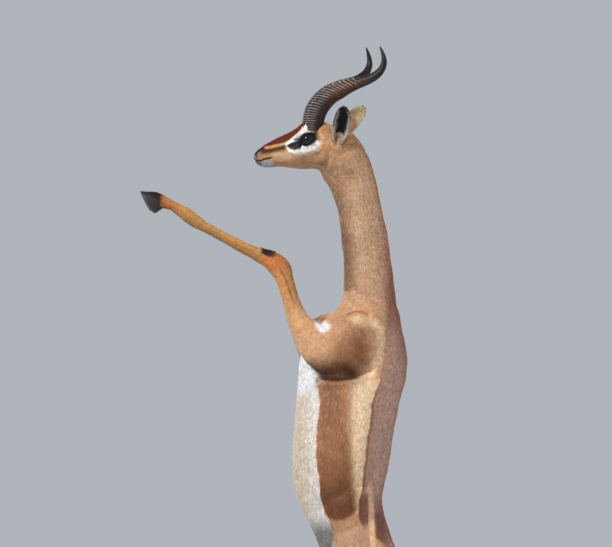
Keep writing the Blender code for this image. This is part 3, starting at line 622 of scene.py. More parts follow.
def opening(p, side):
    """How far out of the eye's opening points lie: 1 on its edge. Also their height over the middle."""
    centre, out, long, across = eye_frame(side)
    d = p - np.array(centre)
    dist = np.linalg.norm(d, axis=1)
    d = d / dist[:, None].clip(1e-9)
    a = (d @ np.array(long)) * EYE_RADIUS
    b = (d @ np.array(across)) * EYE_RADIUS
    o = d @ np.array(out)
    # pointed at the inner corner, round at the outer one, flatter below
    sharp = 1.0 - 0.30 * smooth(a, 0.0, EYE_LONG)
    high = EYE_HIGH * np.where(b > 0, 1.06, 0.86) * sharp
    f = np.sqrt((a / EYE_LONG) ** 2 + (b / high) ** 2)
    return np.where(o > 0, f, 9.0), dist, a, b


def skin_mesh():
    bm = bmesh.new()
    for obj in flesh_parts():
        bm.from_mesh(obj.data)
        bpy.data.objects.remove(obj)
    whole = bpy.data.meshes.new("whole")
    bm.to_mesh(whole)
    bm.free()
    body = bpy.data.objects.new("whole", whole)
    bpy.context.scene.collection.objects.link(body)
    grid = body.modifiers.new("join", "REMESH")
    grid.mode = "VOXEL"
    grid.voxel_size = VOXEL
    joined = evaluated(body)
    bpy.data.objects.remove(body)
    mesh = joined.data
    taubin(mesh, 7)
    blend_shoulder(mesh, 34)
    place = Place(coords(mesh))
    co = coords(mesh) + normals(mesh) * (FULLER - coat_depth(place))[:, None]
    mesh.vertices.foreach_set("co", co.ravel())
    mesh.update()
    bpy.context.scene.collection.objects.link(joined)
    # the ears grow out of the skin
    for side in (-1, 1):
        shell = ear_shell(side)
        bpy.context.scene.collection.objects.link(shell)
        add = joined.modifiers.new("ear", "BOOLEAN")
        add.operation = "UNION"
        add.solver = "EXACT"
        add.object = shell
    made = evaluated(joined)
    for obj in list(bpy.context.scene.collection.objects):
        if obj == joined or obj.name.startswith("ear_shell"):
            bpy.data.objects.remove(obj)
    mesh = made.data
    # finer on the head, finest round the eyes and on the muzzle
    def head(p):
        c, r = drawing(p)
        return (r < 182) & (c < 372) & (p[:, 2] > 1.80)

    def fine(p):
        c, r = drawing(p)
        eye = np.minimum(*[np.linalg.norm(p - np.array(eye_centre(s)), axis=1) for s in (-1, 1)])
        return (eye < 0.034) | ((c < 274) & (r > 135) & (r < 175))
    def not_ear(p):
        base = np.minimum(*[np.linalg.norm(p - np.array(ear_base(s)), axis=1) for s in (-1, 1)])
        c, r = drawing(p)
        return ~((base < 0.10) & (np.abs(p[:, 1]) > 0.044) & (c > 326)) & (r > 118)
    refine(mesh, lambda p: head(p) & not_ear(p))
    co = coords(mesh)
    weight = (head(co) & not_ear(co)).astype(float)
    relax(mesh, weight, 3)
    refine(mesh, fine)
    co = coords(mesh)
    relax(mesh, fine(co).astype(float), 3)
    # the ear's root runs smoothly into the head
    co = coords(mesh)
    for side in (-1, 1):
        base = np.linalg.norm(co - np.array(ear_base(side)), axis=1)
        relax(mesh, smooth(base, 0.026, 0.014), 4)
        co = coords(mesh)
    return made


# ---------------------------------------------------------------- folds, lids, nostrils, muscles
NOSTRIL = ((256.2, 153.6), (258.6, 150.9), (261.6, 148.9), (264.2, 148.2))
MOUTH = ((254.4, 160.2), (257.5, 161.3), (260.6, 161.0), (263.3, 160.0), (267.2, 158.9), (271.0, 158.4))
GLAND = ((288.6, 147.6), (292.0, 146.6), (295.4, 146.2))


def sculpt(mesh):
    co, no = coords(mesh), normals(mesh)
    place = Place(co)
    c, r, y = place.col, place.row, place.y
    head = place.on("head") | ((r < 175) & (c < 345))
    side_on = smooth(np.abs(no[:, 1]), 0.25, 0.65)
    move = np.zeros(len(co))

    def groove(pts, width, depth, where=1.0):
        d = line_distance(c, r, pts)
        return -depth * np.exp(-(d / width) ** 2) * where

    # muzzle: nostril slit with a raised wing, mouth line, lip roll, chin
    front = head * smooth(c, 279, 272)
    move += groove(NOSTRIL, 1.35, 0.0050, front * smooth(y, 0.0035, 0.0075))
    d = line_distance(c, r, [(x + 1.5, z + 3.2) for x, z in NOSTRIL])
    move += 0.0013 * np.exp(-(d / 1.7) ** 2) * front * side_on
    move += groove(MOUTH, 0.75, 0.0030, head * smooth(c, 274, 270))
    move += groove(((271.0, 158.4), (276.0, 158.8), (283.0, 159.8)), 1.4, 0.0009, head * side_on)
    d = line_distance(c, r, [(x, z - 1.9) for x, z in MOUTH])
    move += 0.0008 * np.exp(-(d / 1.1) ** 2) * front
    move += groove(((258.0, 157.6), (262.0, 155.0), (265.5, 152.2)), 1.0, 0.0007, front * side_on)
    move += groove(((253.0, 155.0), (253.4, 158.6)), 0.7, 0.0016, front * smooth(y, 0.0030, 0.0008))
    # scent gland before the eye, cheek bone, jaw line and throat folds
    move += groove(GLAND, 2.6, 0.0022, head * side_on)
    d = line_distance(c, r, [(x, z - 3.9) for x, z in GLAND])
    move += 0.0010 * np.exp(-(d / 2.0) ** 2) * head * side_on
    move += groove(((273, 150.2), (283, 149.0), (291, 152.6), (299, 155.2)), 2.6, 0.0012, head * side_on)
    d = line_distance(c, r, ((292, 155.5), (302, 155.0), (312, 151.5), (319, 147.0)))
    move += 0.0013 * np.exp(-(d / 3.0) ** 2) * head * side_on
    move += groove(((276, 163.4), (289, 164.6), (300, 166.8)), 1.6, 0.0010, head * side_on)
    d = line_distance(c, r, ((303, 166.0), (313, 164.5), (321, 161.0), (326, 154.0)))
    move += 0.0018 * np.exp(-(d / 5.0) ** 2) * side_on * (r < 176)
    move += groove(((327.5, 152.5), (329.0, 160.0), (326.0, 169.0), (324.0, 176.0)), 2.6, 0.0022, side_on)
    move += groove(((333.5, 160), (333.5, 168), (330.5, 176), (329.5, 184)), 2.2, 0.0009, side_on)
    # the neck: the windpipe and the long muscle that stands beside it
    neck = place.on("neck")
    move += groove(((334, 178), (341, 192), (347, 214), (352, 242), (354, 268), (352, 296)), 3.6, 0.0020,
                   neck * side_on)
    d = line_distance(c, r, ((345, 172), (354, 198), (361, 228), (365, 262), (364, 298)))
    move += 0.0016 * np.exp(-(d / 6.0) ** 2) * neck * side_on
    move += groove(((365, 182), (372, 206), (378, 240), (383, 276)), 3.2, 0.0010, neck * side_on)
    # shoulder: fold below the elbow, blade edge, and the pit between neck and shoulder
    trunk = place.on("trunk", "neck") | ((c > 306) & (r > 300) & (r < 395))
    move += groove(((318, 380), (330, 379.5), (345, 379.5), (358, 376.5), (370, 371.0)), 2.7, 0.0062, trunk * side_on)
    d = line_distance(c, r, ((322, 372), (336, 372.5), (352, 370)))
    move += 0.0022 * np.exp(-(d / 4.2) ** 2) * trunk * side_on
    move += groove(((340, 311), (350, 318), (361, 322), (372, 322)), 5.0, 0.0030, trunk * side_on)
    move += groove(((384, 326), (388, 344), (386, 362), (378, 378)), 7.0, 0.0012, trunk * side_on)
    move += groove(((333, 320), (337, 330), (334, 342), (325, 351)), 3.0, 0.0016, trunk * side_on)
    d = line_distance(c, r, ((345, 322), (354, 333), (359, 348), (358, 362)))
    move += 0.0026 * np.exp(-(d / 7.0) ** 2) * trunk * side_on
    move += groove(((316, 322), (321, 327), (323, 334)), 2.4, 0.0018, trunk * side_on)
    # ribs and the flank before the thigh
    barrel = place.on("trunk") * side_on
    for i in range(7):
        top = (372 - 2.0 * i, 392 + 11.5 * i)
        move += groove((top, (top[0] - 17, top[1] + 11), (top[0] - 38, top[1] + 12)), 3.2, 0.00022, barrel)
    move += groove(((320, 508), (333, 497), (348, 489), (362, 486)), 5.5, 0.0030, barrel)
    move += groove(((352, 400), (352, 440), (354, 480)), 6.0, 0.0012, barrel)
    move += groove(((357, 520), (366, 540), (378, 556)), 6.0, 0.0016, barrel)
    # spine between the back muscles
    spine = smooth(place.y, 0.020, 0.004) * (no[:, 0] > 0.4) * place.on("trunk", "neck")
    move += -0.0016 * spine * smooth(r, 300, 340)
    # legs: tendons behind the cannons, the knee's hollows, the hock's cord
    fore = place.on("fore_left", "fore_right")
    hind = place.on("hind_left", "hind_right")
    lateral = smooth(np.abs(place.fv), 0.35, 0.8)
    st, fu = place.station, place.fu
    tendon = np.exp(-((fu + 0.22) / 0.20) ** 2) * lateral
    move -= 0.0016 * tendon * fore * smooth(st, 13.2, 14.5) * smooth(st, 19.6, 18.4)
    move -= 0.0022 * np.exp(-((fu - 0.15 + 0.10 * (st - 8)) / 0.16) ** 2) * lateral * fore * smooth(st, 7.2, 8.2) * smooth(st, 11.4, 10.2)
    move -= 0.0016 * np.exp(-((st - 12.7) / 0.35) ** 2) * lateral * fore
    move += 0.0012 * np.exp(-((st - 12.0) / 0.35) ** 2) * lateral * fore
    move -= 0.0018 * np.exp(-((fu - 0.20) / 0.22) ** 2) * lateral * hind * smooth(st, 12.8, 13.6) * smooth(st, 16.4, 15.4)
    move -= 0.0060 * np.exp(-((fu + 0.42) / 0.24) ** 2) * lateral * hind * smooth(st, 9.2, 10.6) * smooth(st, 12.2, 11.2)
    move -= 0.0030 * np.exp(-((fu - 0.05) / 0.22) ** 2) * lateral * hind * smooth(st, 7.0, 8.2) * smooth(st, 10.6, 9.2)
    # soft unevenness of muscle under the coat
    move += 0.0007 * waves(co, 0.060) * np.where(head, 0.25, 1.0)
    co = co + no * move[:, None]

    # eyes: the lids lie on the ball and the skin inside the opening sinks behind it
    for side in (-1, 1):
        centre = np.array(eye_frame(side)[0])
        f, dist, a, b = opening(co, side)
        dirs = (co - centre) / dist[:, None].clip(1e-9)
        lid = EYE_RADIUS + 0.0012 + 0.0006 * (b > 0) * smooth(f, 1.30, 1.05)
        # crease above the upper lid and below the lower one
        crease = 0.0011 * np.exp(-((f - 1.42) / 0.10) ** 2)
        ring = np.where(f < 1.0, lid - 0.0085 * smooth(f, 1.0, 0.90), lid - crease)
        blend = smooth(f, 1.95, 1.30)
        reach = dist + (ring - dist) * blend
        near = (f < 2.0) & (dist < 0.035)
        co = np.where(near[:, None], centre + dirs * reach[:, None], co)
        # tear corner
        front = (f < 1.35) & (f > 0.95) & (a > 0.0135)
        co = np.where(front[:, None], co - dirs * (0.0012 * np.exp(-(b / 0.0018) ** 2))[:, None], co)
    mesh.vertices.foreach_set("co", co.ravel())
    mesh.update()


# ---------------------------------------------------------------- markings, one function for skin and coat
def linear(rgb):
    a = np.array(rgb, float) / 255.0
    return np.where(a <= 0.04045, a / 12.92, ((a + 0.055) / 1.055) ** 2.4)


TAN, THROAT, NAPE = (202, 152, 108), (176, 138, 106), (190, 100, 54)
NECK_TOP = ((322, 182), (336, 170), (350, 156), (358, 136))
FLANK, DARK_FLANK, BAND = (158, 112, 80), (106, 62, 38), (244, 214, 178)
SADDLE, SADDLE_DARK, WHITE = (192, 154, 136), (146, 98, 80), (230, 232, 234)
LEG, LEG_GROOVE_SHADE, BLAZE, BLAZE_DARK = (192, 138, 84), (128, 76, 40), (104, 38, 30), (60, 24, 22)
CREAM, GREY, BLACK = (224, 196, 164), (172, 168, 164), (22, 19, 19)

EYE_RING = ((284.5, 144.2), (288.5, 141.4), (295.0, 136.0), (300.7, 130.8), (306.0, 126.8), (312.0, 126.5),
            (316.6, 130.0), (317.8, 136.0), (317.8, 145.0), (313.8, 149.3), (305.0, 153.4), (296.4, 154.5),
            (288.8, 152.4), (286.0, 149.0))
TEAR_PATCH = ((286.1, 146.1), (288.8, 143.9), (294.2, 141.7), (299.7, 138.5), (304.0, 135.2), (310.5, 132.3),
              (314.8, 135.0), (315.9, 139.5), (313.8, 142.8), (309.4, 145.0), (305.0, 146.6), (300.9, 146.4),
              (299.7, 149.3), (294.2, 150.6), (289.3, 149.3))
BLAZE_EDGE = ((250, 152.0), (257.5, 150.4), (262, 148.2), (264.9, 147.1), (272.5, 145.4), (283.4, 143.0),
              (288.8, 140.2), (295.0, 134.9), (300.7, 130.0), (305.0, 125.4), (309.0, 120.6), (316.0, 115.0))
CHEEK_STRIPE = ((262.5, 151.6), (270.0, 150.6), (279.0, 148.6), (286.5, 147.2))
LOWER_LIP = ((260.4, 163.0), (262.4, 161.8), (266.0, 161.0), (271.5, 160.6), (273.0, 163.4), (271.4, 167.4),
             (263.0, 167.9), (260.2, 165.6))
JAW_SHADOW_LINE = ((274, 162.6), (281.7, 163.2), (289.4, 163.8), (295, 164.9), (301, 167.0))
WHITE_EDGE_R = (345, 362, 380, 390, 400, 410, 420, 430, 450, 470, 490, 500, 510, 520, 540, 560, 600)
WHITE_EDGE_C = (309, 309.5, 315.8, 318.8, 319.6, 319.2, 318, 316.7, 316, 318, 319.6, 321, 324.5, 329.5, 333, 334, 335)
BAND_EDGE_R = (240, 296, 320, 340, 350, 360, 370, 380, 390, 400, 420, 440, 460, 480, 500, 520, 560, 620)
BAND_EDGE_C = (385, 385, 385, 385, 384.6, 383.6, 382, 379.8, 375.4, 372, 369.8, 366.6, 365, 362.6, 359.2, 357.4, 366, 376)
FLANK_EDGE_R = (372, 384, 400, 420, 440, 460, 480, 494, 502, 510, 515, 520)
FLANK_EDGE_C = (352, 348, 347.2, 347.4, 348.8, 350.4, 351.6, 353.4, 355.2, 355.4, 353.4, 348)
STRIPE_R = (470, 481, 500, 520, 547, 560)
STRIPE_C = (369.6, 370.0, 370.4, 370.8, 371.8, 374)


def markings(pts, nos, place=None):
    """Linear colour of coat and skin at points of the body."""
    place = place or Place(pts)
    c, r, y = place.col, place.row, place.y
    n = len(c)
    col = np.tile(linear(TAN), (n, 1))

    def lay(rgb, w):
        nonlocal col
        w = np.clip(w, 0, 1)[:, None]
        col = col * (1 - w) + linear(rgb) * w

    wob = waves(pts, 0.045, 2.0)
    fleck = waves(pts, 0.011, 5.0)
    head, neck, trunk, tail = place.on("head"), place.on("neck"), place.on("trunk"), place.on("tail")
    fore, hind = place.on("fore_left", "fore_right"), place.on("hind_left", "hind_right")
    st, fu, fv = place.station, place.fu, place.fv
    dorsal = smooth(nos[:, 0], 0.15, 0.75)
    belly = smooth(-nos[:, 0], 0.2, 0.8)

    # ---- neck: pale tan, a thin red line down the nape, darker and greyer under the throat and down the front, partly with painted shade
    if True:
        w = neck.astype(float)
        back = np.interp(r, (130, 145, 160, 180, 200, 225, 250, 275, 300), (354, 363.5, 370, 375.5, 380, 385.3, 389.5, 393, 396))
        front = np.interp(r, (150, 172, 187, 203, 220, 240, 260, 280, 300), (318, 323, 331, 336.5, 339.4, 341.3, 343.2, 343.8, 342))
        lay((196, 160, 130), w)
        lay((204, 164, 132), w * smooth(r, 240, 300) * 0.7)
        # painted shade: a darker strip down the front of the neck, beside the windpipe's groove
        lay((124, 92, 72), w * smooth(c - front, 22.0, 3.0) * smooth(r, 208, 240) * smooth(r, 325, 290) * 0.75)
        lay((124, 86, 62), w * smooth(c - front, 8.0, 1.0) * smooth(r, 160, 176) * smooth(r, 325, 300) * 0.6)
        # darker upper throat: partly mottled brown, partly painted shade
        lay((150, 116, 90), w * smooth(c - front, 24.0, 3.0) * smooth(r, 236, 204) * 0.8)
        lay(THROAT, w * smooth(line_distance(c, r, NECK_TOP), 26.0, 8.0) * 0.9)
        # painted shade along the front edge of the neck
        lay((96, 68, 50), w * smooth(c - front, 16.0, 1.0) * smooth(r, 300, 240) * 0.35)
        lay((160, 116, 90), w * smooth(c - back, -14.0, -2.0) * smooth(r, 210, 270) * 0.8)
        lay((206, 118, 66), w * smooth(c - back, -4.2, -1.0) * smooth(r, 136, 150) * (0.8 + 0.15 * wob))
        lay(NAPE, w * dorsal * smooth(y, 0.022, 0.010) * smooth(r, 134, 150) * (0.80 + 0.15 * wob))
        lay((170, 132, 102), w * 0.30 * smooth(wob, -0.2, 1.0))
        lay((218, 186, 156), w * 0.22 * smooth(-wob, 0.0, 1.0))
    # ---- trunk
    if True:
        edge = np.interp(r, BAND_EDGE_R, BAND_EDGE_C) + 0.7 * wob
        flank = np.interp(r, FLANK_EDGE_R, FLANK_EDGE_C) + 1.2 * wob
        white = np.interp(r, WHITE_EDGE_R, WHITE_EDGE_C) + 0.5 * wob
        w = (trunk | (r > 500) & (hind | tail)).astype(float)
        w = np.maximum(w, (fore & (r > 352)) * 1.0)
        streak = waves(pts * np.array([1.0, 1.0, 0.22]), 0.006, 4.0)
        streak = np.where(np.isfinite(streak), streak, 0.0)
        lay((202, 162, 131), trunk * 1.0)
        lay((206, 158, 114), trunk * smooth(r, 300, 345))
        lower = smooth(r, 366, 384)
        point = smooth(r, 510, 496) + smooth(r, 496, 510) * smooth(np.abs(c - 358.0), 4.0, 1.0) * smooth(r, 513, 508)
        lay(BAND, w * lower * smooth(c - flank, -5.0, 8.0) * smooth(edge - c, -0.8, 0.8) * point)
        brown = np.interp(c, (327, 335, 345, 352, 357, 361, 366), (515, 519.5, 518, 513, 508, 501, 490))
        lower = smooth(r, 371, 377)
        spread = smooth(r, 450, 410)
        lay(FLANK, w * lower * smooth(c - white, 0.0, 1.0) * smooth(flank - c, -8.0 - 6.0 * spread, 5.5 + 6.0 * spread) * smooth(r - brown, 1.5, -2.5))
        lay(DARK_FLANK, w * smooth(r, 440, 512) * smooth(r - brown, 1.0, -3.0) * smooth(c - white, 0.0, 1.5)
            * smooth(flank - c, -4.0, 5.0) * 0.8)
        lay((120, 78, 52), w * np.exp(-(np.hypot((c - 331) / 7.0, (r - 410) / 16.0)) ** 2) * smooth(c - white, 0.0, 2.0) * 0.4)
        lay((128, 80, 52), w * lower * smooth(c - white, 1.0, 3.0) * smooth(flank - c, 0, 6) * smooth(r, 506, 470)
            * smooth(streak, -0.1, 0.9) * 0.35)
        lay((198, 146, 102), w * lower * smooth(c - white, 1.0, 3.0) * smooth(flank - c, -2, 4) * smooth(r, 490, 440)
            * smooth(-streak, 0.1, 0.9) * 0.40)
        lay((196, 142, 96), w * smooth(r, 380, 420) * smooth(r, 500, 440) * smooth(c - white, 6, 1) * smooth(c - white, 0, 1) * 0.35)
        lay((184, 148, 120), w * smooth(r, 514, 526) * smooth(c, 330, 336) * smooth(c, 376, 366) * smooth(r, 600, 550) * 0.9)
        # the saddle ends in two lobes over the haunch, with a pale stripe between them
        stripe = np.interp(r, STRIPE_R, STRIPE_C)
        hem = np.interp(c, (358, 360, 364, 367.5, 370.4, 374, 383, 389, 396, 404, 420), (512, 520, 527, 524, 521, 535, 541, 547, 556, 566, 590))
        soft = 0.8 + 2.2 * smooth(r, 366, 348)
        saddle = w * smooth(c - edge, -soft, soft + 0.4) * smooth(r, 292, 352) * smooth(r - hem, 2.2 + (c - 366).clip(0, 30) * 0.12, -2.2)
        saddle = np.maximum(saddle, (neck | trunk) * smooth(c - edge, -4.0 + 3.0 * smooth(r, 300, 350), 4.5 - 3.0 * smooth(r, 300, 350)) * smooth(r, 236, 300) * (r < 352) * 0.92)
        lay(SADDLE, saddle)
        lay(SADDLE_DARK, saddle * smooth(c - edge, 4.5, 0.6) * 0.85 * smooth(r, 352, 400))
        lay((120, 70, 56), saddle * smooth(stripe - c, 1.5, 3.2) * smooth(r, 484, 500) * 0.8)
        lay((104, 58, 47), saddle * smooth(hem - r, 56, 20) * smooth(c, 371, 376) * smooth(c - stripe, 20, 9) * 0.85)
        # painted highlight across the middle of the saddle, broken into lighter streaks
        lay((214, 180, 164), saddle * smooth(c - edge, 5, 14) * smooth(r, 340, 400) * smooth(r, 530, 460) * (0.25 + 0.30 * smooth(streak, -0.5, 0.8)))
        lay((140, 90, 74), saddle * smooth(r, 352, 296) * (0.45 + 0.30 * smooth(streak, -0.4, 0.8)))
        lay((160, 92, 62), saddle * dorsal * smooth(y, 0.075, 0.02) * 0.75)
        lay((226, 186, 150), w * smooth(np.abs(c - stripe), 3.4, 1.7) * smooth(r, 477, 487) * smooth(r, 566, 548))
        lay(WHITE, w * smooth(white - c, -0.5, 0.8) * smooth(r, 340, 352) * belly ** 0.3)
        lay(WHITE, w * smooth(white - c, -0.5, 0.8) * smooth(r, 352, 366))
        lay((214, 206, 196), w * smooth(r, 352, 376) * smooth(white - c, -0.5, 0.8) * 0.55)
        # painted shade: the white at the belly's outer edge, where it turns away, tinted a greyer cream
        lay((206, 188, 167), w * smooth(r, 358, 418) * smooth(c, 317, 299) * (c < white) * 0.85)
        # the groin: bare grey skin, darkened further with painted shadow over the inner thigh
        groin_skin_and_shade = smooth(r, 511, 533) * smooth(r, 600, 566) * smooth(c, 335, 331) * smooth(y, 0.085, 0.060)
    # ---- shoulder, brisket; the shoulder's lower half and the crease under it get painted shade
    chest = ((c > 296) & (c < 402) & (r > 296) & (r < 392) & ~head).astype(float)
    if True:
        tone = chest * smooth(r, 292, 308)
        own = (trunk | fore | neck)
        near = smooth(edge - c, -1.0, 1.0)
        lay((202, 158, 122), tone * near * own * smooth(r, 380, 372) * 0.9)
        lay((158, 108, 74), tone * own * np.exp(-(np.hypot((c - 351) / 17.0, (r - 348) / 20.0)) ** 4) * smooth(edge - c, 2, 14) * 0.75)
        lay((122, 76, 46), tone * own * np.exp(-(np.hypot((c - 359 - (r - 345) * 0.12) / 10.0, (r - 346) / 16.0)) ** 2) * 0.62)
        # painted shade: the shoulder's lower half and a patch above the elbow, darker over their own brown
        lay((72, 38, 17), tone * own * np.exp(-(line_distance(c, r, ((310, 372), (330, 369), (345, 367), (352, 371))) / 10.0) ** 2) * 0.97)
        lay((92, 52, 30), tone * own * np.exp(-(line_distance(c, r, ((336, 362), (346, 366))) / 4.0) ** 2) * 0.55)
        lay((255, 214, 172), tone * own * near * np.exp(-(line_distance(c, r, ((356, 317), (371, 320), (379.5, 328), (380.5, 344),
            (378, 360), (371, 376))) / 5.0) ** 2) * 0.95)
        lay((98, 56, 38), chest * own * np.exp(-(line_distance(c, r, ((352, 351), (359, 356), (367, 360))) / 1.6) ** 2) * (0.55 + 0.3 * fleck))
        lay((98, 56, 38), chest * own * np.exp(-(line_distance(c, r, ((356.5, 326), (360, 328.5), (365.5, 335))) / 1.1) ** 2) * (0.40 + 0.3 * fleck))
        lay((170, 92, 58), chest * own * np.exp(-(line_distance(c, r, ((350, 313.5), (357, 311.0), (362, 311.2), (368, 314.5))) / 1.2) ** 2) * 0.8)
        # painted shadow in the crease under the shoulder and upper arm
        lay((74, 40, 26), chest * own * np.exp(-(line_distance(c, r, ((312, 375.5), (322, 377.2), (335, 378.6), (348, 378.2), (357, 376.5))) / 1.5) ** 2) * 0.9)
        # painted highlight on the point of the far shoulder
        lay((255, 216, 164), chest * np.exp(-(line_distance(c, r, ((311, 322), (317.5, 315.6), (324, 312.6), (334, 312.5))) / 3.4) ** 2) * (pts[:, 1] > 0) * 0.95)
        patch = np.exp(-(np.hypot((c - 323.6 - (r - 325) * 0.1) / 8.0, (r - 325.3) / 8.2)) ** 7)
        lay((244, 244, 244), patch * own * smooth(y, 0.150, 0.130))
        lay(WHITE, chest * belly * smooth(r, 340, 356) * smooth(y, 0.075, 0.055) * trunk)
    # ---- head
    if True:
        h = head.astype(float)
        lay((200, 150, 104), h)
        lay(THROAT, h * smooth(line_distance(c, r, NECK_TOP), 30.0, 8.0) * 0.9)
        lay((112, 80, 56), h * smooth(c, 290, 304) * smooth(r, 152, 162) * 0.45)
        lay((148, 112, 82), h * smooth(c, 288, 306) * smooth(r, 148, 158) * 0.8)
        lay((146, 112, 86), h * smooth(c, 316, 330) * smooth(r, 152, 166) * 0.75)
        lay((206, 164, 126), h * smooth(r, 150, 158) * 0.75)
        lay((214, 166, 118), h * smooth(c, 306, 318) * smooth(r, 150, 140) * 0.8)
        lay((140, 104, 78), h * smooth(r, 159, 167) * 0.65)
        lay((150, 100, 60), h * smooth(c, 276, 264) * smooth(r, 148, 152) * 0.6)
        lay((206, 180, 150), h * within(c, r, ((270, 153.6), (286, 151.4), (300, 152.8), (302, 157.6), (286, 159.6), (272, 158.0)), 1.6) * 0.55)
        lay((72, 42, 26), h * np.exp(-(line_distance(c, r, CHEEK_STRIPE) / 3.2) ** 3) * 0.96)
        lay((216, 164, 104), h * np.exp(-(line_distance(c, r, ((266.0, 148.6), (273, 147.2), (280.0, 145.4), (285.5, 143.6))) / 1.0) ** 2) * 0.9)
        lay((190, 132, 86), h * within(c, r, ((274, 161), (300, 161), (318, 164), (318, 174), (300, 171), (276, 168)), 2.0) * 0.5)
        # painted shadow: a thin darker line along the jaw under the cheek
        lay((150, 92, 52), h * np.exp(-(line_distance(c, r, JAW_SHADOW_LINE) / 0.9) ** 2) * 0.75)
        ring = within(c, r, EYE_RING, 0.8) * smooth(y, 0.012, 0.020)
        lay((240, 244, 246), np.maximum(h, (c < 325) & (r < 160)) * ring)
        lay((216, 204, 190), h * np.exp(-(line_distance(c, r, ((299, 154.4), (308, 153.4), (315.6, 149.6), (319.4, 143))) / 1.8) ** 2) * 0.7)
        blaze_row = np.interp(c, [p[0] for p in BLAZE_EDGE], [p[1] for p in BLAZE_EDGE])
        b = h * smooth(blaze_row - r, -0.4, 0.7) * smooth(c, 261, 264.5) * smooth(c, 324, 316)
        lay(BLAZE, b)
        lay(BLAZE_DARK, b * (0.55 + 0.25 * wob) * smooth(blaze_row - r, 3.6, 0.6))
        lay((150, 70, 40), b * smooth(y, 0.006, 0.0) * 0.45)
        lay((198, 150, 106), h * smooth(c, 319, 326) * smooth(r, 142, 132))
        lay((176, 170, 160), h * np.exp(-(np.hypot((c - 326.0) / 4.0, (r - 141.5) / 3.6)) ** 2) * 0.55 * (0.6 + 0.4 * fleck))
        lay(BLACK, h * within(c, r, TEAR_PATCH, 0.7) * smooth(y, 0.010, 0.016) * 0.98)
        lay((54, 56, 60), h * within(c, r, TEAR_PATCH, 0.9) * np.exp(-(np.hypot((c - 292.5) / 3.6, (r - 146.6) / 1.5)) ** 2) * 0.4)
        for side in (-1, 1):
            f, dist, a, _ = opening(pts, side)
            near = dist < 0.034
            ahead = smooth(a, 0.0, 0.012)
            lay((13, 12, 12), near * smooth(f, 1.30 + 0.45 * ahead, 1.12 + 0.30 * ahead))
        # painted shade mixed with mottled brown: a darker band over the lower cheek and throat
        lay((112, 80, 56), (head | neck) * np.exp(-(line_distance(c, r, ((302, 161), (322, 165), (346, 171))) / 8.0) ** 2) * (r > 152) * 0.42)
        # nose, lips
        lay((70, 66, 66), h * smooth(c, 258.4, 256.6) * smooth(r, 166, 162))
        lay((92, 98, 102), h * smooth(c, 257.6, 255.6) * smooth(np.abs(r - 159.0), 4.2, 2.2) * 0.9)
        lay((16, 13, 13), h * np.exp(-(line_distance(c, r, ((253.8, 154.8),) + NOSTRIL) / 1.6) ** 4) * smooth(c, 265.5, 263.5))
        lay((166, 174, 172), h * within(c, r, LOWER_LIP, 0.7))
        lay((112, 106, 100), h * smooth(c, 262, 259.5) * within(c, r, ((253, 160), (262, 161), (262, 168), (256, 168)), 1.0) * 0.8)
        lay((20, 16, 15), h * np.exp(-(line_distance(c, r, MOUTH) / 0.85) ** 4))
        lay((196, 164, 130), h * smooth(-nos[:, 2], 0.45, 0.9) * smooth(c, 268, 278) * smooth(r, 158, 163) * 0.7)
    # ---- legs
    if True:
        f = fore * smooth(st, 4.5, 7.0)
        lay(LEG, f)
        lay((206, 164, 122), f * smooth(st, 9.5, 6.0) * 0.8)
        inner = fore & (nos[:, 1] * np.sign(pts[:, 1]) < -0.25)
        lay((228, 196, 152), f * inner * smooth(st, 10.5, 8.0) * 0.7)
        # painted highlight along the edge of the cannon
        lay((222, 172, 112), f * np.exp(-((fu - 0.45) / 0.34) ** 2) * smooth(st, 12.8, 14.0) * 0.65)
        # painted shade: darker along the sculpted tendon groove behind the fore cannon and the hollow down the forearm
        lay(LEG_GROOVE_SHADE, f * np.exp(-((fu + 0.30) / 0.16) ** 2) * smooth(st, 13.2, 14.6) * smooth(st, 21.0, 18.6) * 0.75)
        lay(LEG_GROOVE_SHADE, f * np.exp(-((fu - 0.15 + 0.10 * (st - 8)) / 0.13) ** 2) * smooth(st, 7.8, 8.8) * smooth(st, 11.6, 10.6) * 0.8)
        lay((186, 96, 46), f * smooth(st, 10.6, 11.6) * smooth(st, 13.6, 12.6) * 0.55)
        lay((170, 126, 76), f * smooth(st, 12.8, 14.0) * smooth(fu, 0.9, 0.1) * 0.6)
        tuft = f * smooth(fu, 0.20, 0.45) * smooth(fu, 0.98, 0.80) * smooth(st, 12.2, 12.6) * smooth(st, 13.6, 13.2)
        lay((50, 28, 22), tuft * 0.95)
        lay((166, 120, 62), f * smooth(st, 13.2, 14.4) * smooth(st, 21.5, 20.0) * 0.35)
        lay((172, 96, 52), f * smooth(st, 20.4, 21.6) * 0.6)
        lay((40, 26, 22), f * smooth(st, 23.4, 24.0))
        k = hind * smooth(st, 3.5, 6.0)
        lay((190, 148, 114), k * smooth(r, 516, 530))
        lay((200, 142, 92), k * smooth(r, 560, 650))
        inside = hind & (nos[:, 1] * np.sign(pts[:, 1]) < -0.15)
        lay((226, 222, 216), hind * smooth(nos[:, 1] * np.sign(pts[:, 1]), -0.10, -0.45) * smooth(st, 9.4, 6.4))
        # the groin's grey: bare skin, with painted shadow over the inner thigh
        lay((104, 104, 108), groin_skin_and_shade * (hind | trunk) * smooth(nos[:, 0], 0.35, -0.05) * 0.85)
        # painted highlight on the forward-facing front of the thigh
        lay((222, 176, 130), k * smooth(-nos[:, 0], 0.45, 0.9) * smooth(st, 8.0, 6.0) * 0.5)
        lay(LEG, k * smooth(st, 8.0, 11.0) * 0.8)
        lay((226, 178, 126), k * smooth(-nos[:, 0], 0.3, 0.8) * smooth(st, 12.0, 13.5) * 0.5)
